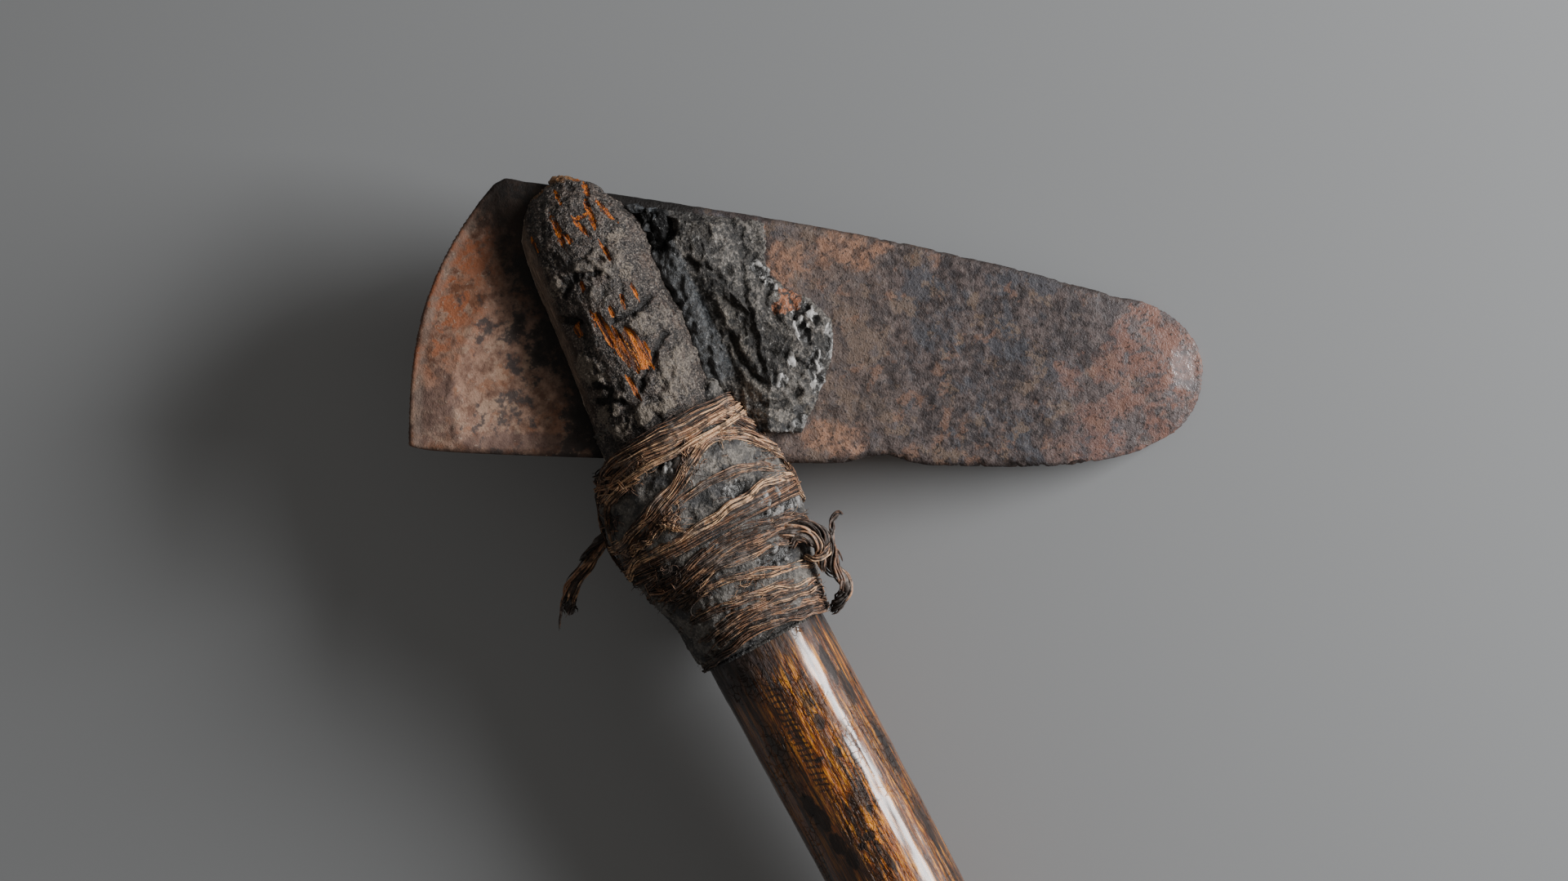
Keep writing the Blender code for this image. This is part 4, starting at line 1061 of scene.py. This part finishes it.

# %% [markdown]
# ## Coated leg
# Three layers: the dull brown-black resin coat, grey dust caught on its crusts, and the orange wood
# where the coat has flaked off. The painted areas say where, and noise breaks their edges. Over them
# come painted light and shade: the low places of the relief and its steps are darkened, its crests
# lightened, small glints added, the worn left side made paler and its edge at the blade near white.

# %% Leg: the coat
coat = Finish("resin coated wood")
lumps = coat.noise(3.4, 4, 0.6)
grit_noise = coat.noise(0.9, 3, 0.65)
fibre_lines = coat.noise(1.1, 4, 0.6, (1, 14, 1))
fine_lines = coat.noise(0.5, 3, 0.6, (1, 20, 1))
sand = coat.noise(0.45, 2, 0.6)
leg_glint = sand.ramp(0.64, 0.70)
height = coat.painted("height")
# Dust on the painted dust patches, and more of it on the crests, where it also works as a painted highlight.
dust_and_crest_light = (coat.painted("dust") * 0.8 + (lumps - 0.5) * 1.8 + (grit_noise - 0.5) * 3.0
              + (height - 0.5) * 1.6).ramp(0.35, 1.15)
mixed = (lumps * 0.3 + grit_noise * 0.4 + sand * 0.3).ramp(0.40, 0.60)
skin = coat.over(
    coat.mix(mixed, srgb(38, 34, 33), srgb(94, 85, 79)),
    ((grit_noise * 0.4 + sand * 0.6).ramp(0.54, 0.64) * 0.6, srgb(142, 131, 120)),
    (fibre_lines.ramp(0.6, 0.7) * 0.35, srgb(104, 66, 40)),
    (lumps.ramp(0.50, 0.62) * 0.4, srgb(84, 64, 54)),
    (leg_glint * 0.5, srgb(178, 172, 168)),
    # Painted shade: the low places of the relief are darkened.
    (height.ramp(0.50, 0.30) * 0.75, srgb(26, 23, 22)),
    ((grit_noise * 0.6 + sand * 0.4).ramp(0.48, 0.40) * 0.7, srgb(28, 25, 24)),
    # Painted highlight: the crests of the relief are lightened.
    (height.ramp(0.56, 0.80) * 0.4, srgb(126, 117, 108)),
    # Painted shade in the coat's steps.
    (coat.painted("ledge").ramp(0.3, 0.9) * 0.7, srgb(24, 22, 21)),
    (dust_and_crest_light * 0.7, coat.mix(sand.ramp(0.4, 0.6), srgb(108, 98, 88), srgb(150, 138, 124))))

# %% Leg: bare wood, the worn side with painted light, and tufts
raw = coat.over(
    coat.mix(fine_lines.ramp(0.40, 0.60), srgb(72, 30, 12), srgb(210, 112, 26)),
    (fibre_lines.ramp(0.50, 0.58) * 0.85, srgb(58, 30, 16)),
    ((fine_lines * 0.5 + sand * 0.5).ramp(0.55, 0.63) * 0.7, srgb(236, 156, 52)))
# Worn wood of the left side, painted much paler than it is: painted light where the side faces away from the
# lamp.
worn_side_lit = coat.over(
    coat.mix(fine_lines.ramp(0.35, 0.65), srgb(132, 112, 98), srgb(190, 164, 144)),
    (grit_noise.ramp(0.52, 0.62) * 0.6, srgb(86, 74, 66)))
bare_share = coat.painted("bare") + (fine_lines - 0.5) * 0.9 + (fibre_lines - 0.5) * 0.6
bare_share = bare_share.ramp(0.40, 0.54)
tufts = (coat.painted("top") + (fibre_lines - 0.5) * 1.4).ramp(0.5, 0.9)
# The line along the leg's left edge at the blade is painted near white, a painted highlight.
leg_colour = coat.over(
    skin, (coat.painted("side_wood_lit") * 0.85, worn_side_lit), (coat.painted("edge") * 0.85, srgb(226, 208, 190)),
    (bare_share, raw), (tufts * 0.7, srgb(156, 112, 70)))
rough_leg = 0.46 - leg_glint * 0.2 + dust_and_crest_light * 0.30 - bare_share * 0.05 + (grit_noise - 0.5) * 0.4
along_grain = coat.bump(fine_lines * 0.8 + fibre_lines * 0.6, 0.35, 0.8)
leg_normal = coat.bump(grit_noise * 0.7 + sand * 0.4 + lumps, 0.8, 0.8, along_grain)
coat.set(Base_Color=leg_colour, Roughness=rough_leg, Normal=leg_normal)
leg.data.materials.append(coat.material)

# %% [markdown]
# ## Polished handle
# Amber wood under a thick hand polish, with dark streaks that run along the grain. The polish is a
# clear coat over a rougher base, and it has crazed in patches. The left of the handle is darker,
# partly stain and partly painted shade on the side away from the lamp, and near the binding the
# resin has soaked in. Short cross ticks in a row, dark blotches and a drying crack are placed.

# %% Handle: colour of the wood
wood = Finish("polished wood", Coat_Roughness=0.19, Coat_IOR=1.65, Specular_IOR_Level=0.3)
across_place, along_place = wood.along("X"), wood.along("Y")
broad = wood.noise(5.0, 4, 0.6, (1, 12, 1))
streaks = wood.noise(1.3, 4, 0.68, (1, 15, 1), 0.0, 0.3)
hairs = wood.noise(0.55, 3, 0.7, (1, 14, 1))
patch_noise = wood.noise(9.0, 4, 0.65, (1, 2.4, 1))
flecks = wood.noise(2.4, 3, 0.6, (1, 1.6, 1))
# The left of the handle is darker: partly stain, partly painted shade on the side away from the lamp.
left_stain_and_shade = (across_place + (broad - 0.5) * 16.0).ramp(-1.5, -6.5)
right_dark = (across_place + (broad - 0.5) * 12.0).ramp(8.0, 12.0)
amber = wood.over(
    wood.mix((broad * 0.6 + streaks * 0.4).ramp(0.40, 0.58), srgb(94, 42, 12), srgb(198, 106, 20)),
    (hairs.ramp(0.50, 0.57) * 0.75, srgb(240, 160, 42)),
    (streaks.ramp(0.50, 0.57) * 0.9, srgb(66, 34, 17)),
    (hairs.ramp(0.48, 0.40) * 0.75, srgb(44, 24, 13)),
    (left_stain_and_shade * 0.72, wood.mix(streaks.ramp(0.42, 0.56), srgb(96, 56, 32), srgb(46, 30, 23))),
    ((patch_noise * 0.7 + streaks * 0.3).ramp(0.53, 0.60) * 0.9, srgb(42, 28, 20)),
    (right_dark * streaks.ramp(0.40, 0.50) * 0.75, srgb(50, 32, 22)))


def dark_mark(x, y, wide, tall):
    """Weight of one ragged oval mark, in mm on the front."""
    dx = (across_place - x) * (1 / wide)
    dy = (along_place - y) * (1 / tall)
    away = dx * dx + dy * dy + (flecks * 0.55 + streaks * 0.45 - 0.5) * 5.5
    return away.ramp(1.25, 0.7) * wood.along("Z").ramp(-1, 1)


marks = dark_mark(2.4, -110.3, 1.2, 2.0)
for row in (
        (3.1, -118.6, 1.0, 1.4), (-1.8, -118.3, 1.2, 0.6), (3.3, -134.4, 0.8, 0.9),
        (-9.4, -127.0, 1.5, 3.0), (-8.2, -131.5, 1.8, 3.4), (-7.6, -138.6, 1.6, 3.2),
        (-6.0, -143.4, 1.5, 2.6), (0.2, -140.2, 1.8, 1.3), (-2.6, -141.6, 1.4, 0.9),
        (0.8, -143.6, 0.9, 1.8), (1.5, -148.2, 0.9, 3.2), (13.6, -124.5, 0.6, 7.0),
        (12.4, -107.0, 0.9, 4.5), (11.0, -99.5, 1.0, 5.0), (13.4, -145.0, 0.5, 8.0)):
    marks = marks.most(dark_mark(*row))

# %% Handle: ticks, crack, stain and polish
ladder = along_place * 0.62 + (across_place + 4.5) * 0.22 + (flecks - 0.5) * 1.3
teeth = wood.node("ShaderNodeMath", {"operation": "FRACT"}, {0: ladder}).ramp(0.46, 0.26)
ladder_area = (across_place + (flecks - 0.5) * 1.6 + 4.0).size().ramp(1.9, 1.3)
ladder_area = ladder_area * along_place.ramp(-128, -124) * along_place.ramp(-94, -98)
ticks = teeth * ladder_area * wood.along("Z").ramp(0, 2)
crack_line = (across_place - 10.0 + (along_place + 110.0) * 0.074 + (streaks - 0.5) * 1.0).size()
crack = crack_line.ramp(0.16, 0.04) * along_place.ramp(-162, -158) * along_place.ramp(-107, -112)
crack = crack * wood.along("Z").ramp(0, 2)
soaked = (along_place + (streaks - 0.5) * 24.0 + (flecks - 0.5) * 6.0 - across_place * 0.25).ramp(-101, -91)
amber = wood.over(
    amber, (marks * 0.92, srgb(36, 28, 26)), (ticks * 0.85, srgb(38, 22, 14)),
    (soaked * 0.9, wood.mix(flecks.ramp(0.4, 0.6), srgb(36, 32, 32), srgb(62, 55, 54))),
    (crack * 0.8, srgb(36, 22, 14)))
crackle = wood.cell_edges(1.9, 1.6).ramp(0.10, 0.03) * patch_noise.ramp(0.48, 0.54)
base_rough = 0.42 + marks * 0.2 + soaked * 0.2 + (hairs - 0.5) * 0.2
polish = (1.0 - soaked * 0.55 - marks * 0.3 - crackle * 0.7) + (flecks - 0.5) * 0.3
scratches = wood.noise(1.0, 3, 0.7, (1, 5, 1))
raised = hairs * 0.6 + streaks * 0.8 + scratches * 1.4
fine = wood.bump(raised - ticks * 0.6 - crack * 2.0 - crackle * 0.8, 0.3, 0.8)
slow = wood.bump(flecks * 1.4 + patch_noise * 1.4 + broad, 0.55, 0.8, fine)
wood.set(Base_Color=amber, Roughness=base_rough, Coat_Weight=polish, Normal=slow)
handle.data.materials.append(wood.material)

# %% [markdown]
# ## Resin
# Dull and dusty over most of it. Where it has broken, each small plane is painted dark or bright by
# its tilt, a painted reflection, with a sharp gloss. Low places of the relief are darkened as painted
# shade, crests lightened as painted highlights, and small glints painted in. The groove beside the
# leg is blue-grey, and the hollow above it is painted nearly black, as painted shade.

# %% Resin: colour and gloss
gum = Finish("old resin")
clots = gum.noise(5.0, 3, 0.6)
folds = gum.noise(4.0, 4, 0.62)
crumbs = gum.noise(1.3, 4, 0.65)
sand = gum.noise(0.6, 2, 0.6)
mixed = folds * 0.2 + crumbs * 0.4 + sand * 0.4
height = gum.painted("height")
between = gum.along("Y").ramp(-37, -41)
dusted = (gum.painted("dust") * 0.8 + (folds - 0.5) * 1.4 + (mixed - 0.5) * 3.0).ramp(0.3, 1.2)
broken = (gum.painted("glassy") + (folds - 0.5) * 0.6).ramp(0.42, 0.6)
# Painted reflection: each broken plane is dark or bright across it by its painted facet height.
shine = (gum.painted("facet") + (crumbs - 0.5) * 0.5).ramp(0.40, 0.60) * (1.0 - between * 0.5)
deep = (gum.painted("valley") + (folds - 0.5) * 0.6).ramp(0.35, 0.75)
rust_share = (gum.painted("rust") + (crumbs - 0.5) * 0.6).ramp(0.4, 0.7)
rust_share = rust_share * (folds * 0.4 + crumbs * 0.6).ramp(0.38, 0.52)
glint = (sand * 0.6 + crumbs * 0.4).ramp(0.58, 0.66)
body = gum.over(
    gum.mix(mixed.ramp(0.41, 0.59), srgb(48, 47, 46), srgb(118, 112, 106)),
    ((crumbs * 0.5 + sand * 0.5).ramp(0.54, 0.64) * 0.6, srgb(140, 131, 120)),
    (dusted * 0.65, gum.mix(sand.ramp(0.4, 0.6), srgb(106, 99, 91), srgb(150, 140, 127))),
    # Painted shade: the low places of the relief are darkened.
    (height.ramp(0.46, 0.22) * 0.7, srgb(22, 21, 21)),
    # Painted highlight: the crests of the relief are lightened.
    (height.ramp(0.58, 0.90) * 0.4, srgb(128, 123, 117)),
    ((clots * 0.7 + crumbs * 0.3).ramp(0.48, 0.58) * between * 0.8, srgb(50, 51, 54)),
    (broken * 0.85, gum.mix(shine, srgb(50, 49, 48), srgb(198, 195, 192))),
    (deep * 0.7, gum.mix(crumbs.ramp(0.42, 0.58), srgb(38, 42, 46), srgb(72, 78, 84))),
    # Painted shade: the hollow above the groove is painted nearly black.
    ((gum.painted("hollow") + (folds - 0.5) * 0.8).ramp(0.3, 0.7), srgb(14, 14, 15)),
    (rust_share * 0.85, gum.mix(crumbs.ramp(0.42, 0.58), srgb(72, 46, 36), srgb(168, 106, 72))),
    (glint * 0.5, srgb(176, 174, 172)))
rough_gum = 0.70 - broken * 0.40 - glint * 0.3 + (sand - 0.5) * 0.2
pocks = gum.bump((crumbs + sand * 0.5) * (1.0 - broken * 0.6), 0.6, 1.0)
facets_normal = gum.bump(folds * 0.4 + crumbs * broken * 0.3, 1.0, 0.8, pocks)
gum.set(Base_Color=body, Roughness=rough_gum, Normal=facets_normal)
resin.data.materials.append(gum.material)

# %% [markdown]
# ## Bast fibre
# Each fibre has its own shade, from dark resin-stained brown to straw, and streaks along it. Grey
# dust and dark dirt lie over all of it in clouds.

# %% Fibre
bast = Finish("bast fibre")
shade = bast.painted("shade")
length = bast.painted("along")
place_along = bast.node("ShaderNodeCombineXYZ", {}, {"X": length * 0.35, "Y": shade * 40.0, "Z": 0.0})
lengthways = bast.node("ShaderNodeTexNoise", {}, {"Vector": place_along, "Scale": 1.0, "Detail": 3.0})
haze = bast.noise(7.0, 3, 0.6)
fine_haze = bast.noise(1.4, 3, 0.6)
tint = shade + (lengthways - 0.5) * 0.5 + (haze - 0.5) * 0.3
straw = bast.node("ShaderNodeValToRGB", {"stops": [
    (0.0, srgb(20, 17, 15)), (1.0, srgb(240, 196, 152)), (0.32, srgb(52, 40, 34)), (0.56, srgb(120, 88, 70)),
    (0.8, srgb(184, 138, 106))]}, {"Fac": tint})
grey = (haze * 0.6 + fine_haze * 0.4 + (lengthways - 0.5) * 0.3).ramp(0.46, 0.66)
dirt = bast.noise(2.2, 4, 0.65)
stained = (bast.along("X") + (haze - 0.5) * 14.0).ramp(-4, -13) * bast.along("Y").ramp(-64, -70)
fibre_colour = bast.over(
    straw, (grey * 0.75, srgb(140, 131, 125)), (dirt.ramp(0.48, 0.60) * 0.8, srgb(62, 53, 48)),
    (dirt.ramp(0.42, 0.34) * shade.ramp(0.4, 0.9) * 0.6, srgb(176, 112, 62)),
    (stained * 0.75, srgb(58, 52, 48)))
twist = bast.bump(lengthways + fine_haze * 0.9 + dirt, 0.35, 0.8)
bast.set(Base_Color=fibre_colour, Roughness=0.72 + (fine_haze - 0.5) * 0.2, Normal=twist)
for tied in (binding_upper, binding_lower, loose):
    tied.data.materials.append(bast.material)

# %% [markdown]
# ## Floor and light
# The photograph has a plain grey ground, and one soft light from the right that is long along the
# handle and narrow across it. That gives the handle its white stripe and the leg its dark shadow.
# The rest is the little light that a room gives from all round.

# %% Floor
bpy.ops.object.select_all(action="DESELECT")
bpy.ops.mesh.primitive_plane_add(size=6.0, location=(0, 0, -0.0002))
floor = bpy.context.object
floor.name = "floor"
ground = bpy.data.materials.new("plain floor")
ground.use_nodes = True
plain = ground.node_tree.nodes["Principled BSDF"].inputs
plain["Base Color"].default_value, plain["Roughness"].default_value = srgb(168, 170, 172), 0.9
floor.data.materials.append(ground)


# %% Lights
def soft_light(name, place, target, wide, tall, power):
    """An area light in the upright frame, in metres, that faces its target."""
    data = bpy.data.lights.new(name, "AREA")
    data.shape = "RECTANGLE"
    data.size, data.size_y, data.energy = wide, tall, power
    lamp = bpy.data.objects.new(name, data)
    bpy.context.scene.collection.objects.link(lamp)
    aim = (Vector(target) - Vector(place)).to_track_quat("-Z", "Y").to_matrix().to_4x4()
    lamp.matrix_world = LAID @ Matrix.Translation(place) @ aim
    print(name, "at", [round(v, 2) for v in lamp.matrix_world.translation], power, "watts")


soft_light("key softbox", (0.86, -0.24, 0.49), (0.02, -0.02, 0), 0.60, 0.31, 15)
world = bpy.data.worlds.new("studio")
world.use_nodes = True
room = world.node_tree.nodes["Background"].inputs
room["Color"].default_value, room["Strength"].default_value = (1.0, 0.96, 0.91, 1), 0.13
bpy.context.scene.world = world

# %% Finish
bpy.context.view_layer.update()
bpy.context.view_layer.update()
total = sum(triangles(p) for p in (blade, leg, handle, resin, binding_upper, binding_lower, loose))
print("whole object:", total, "triangles")
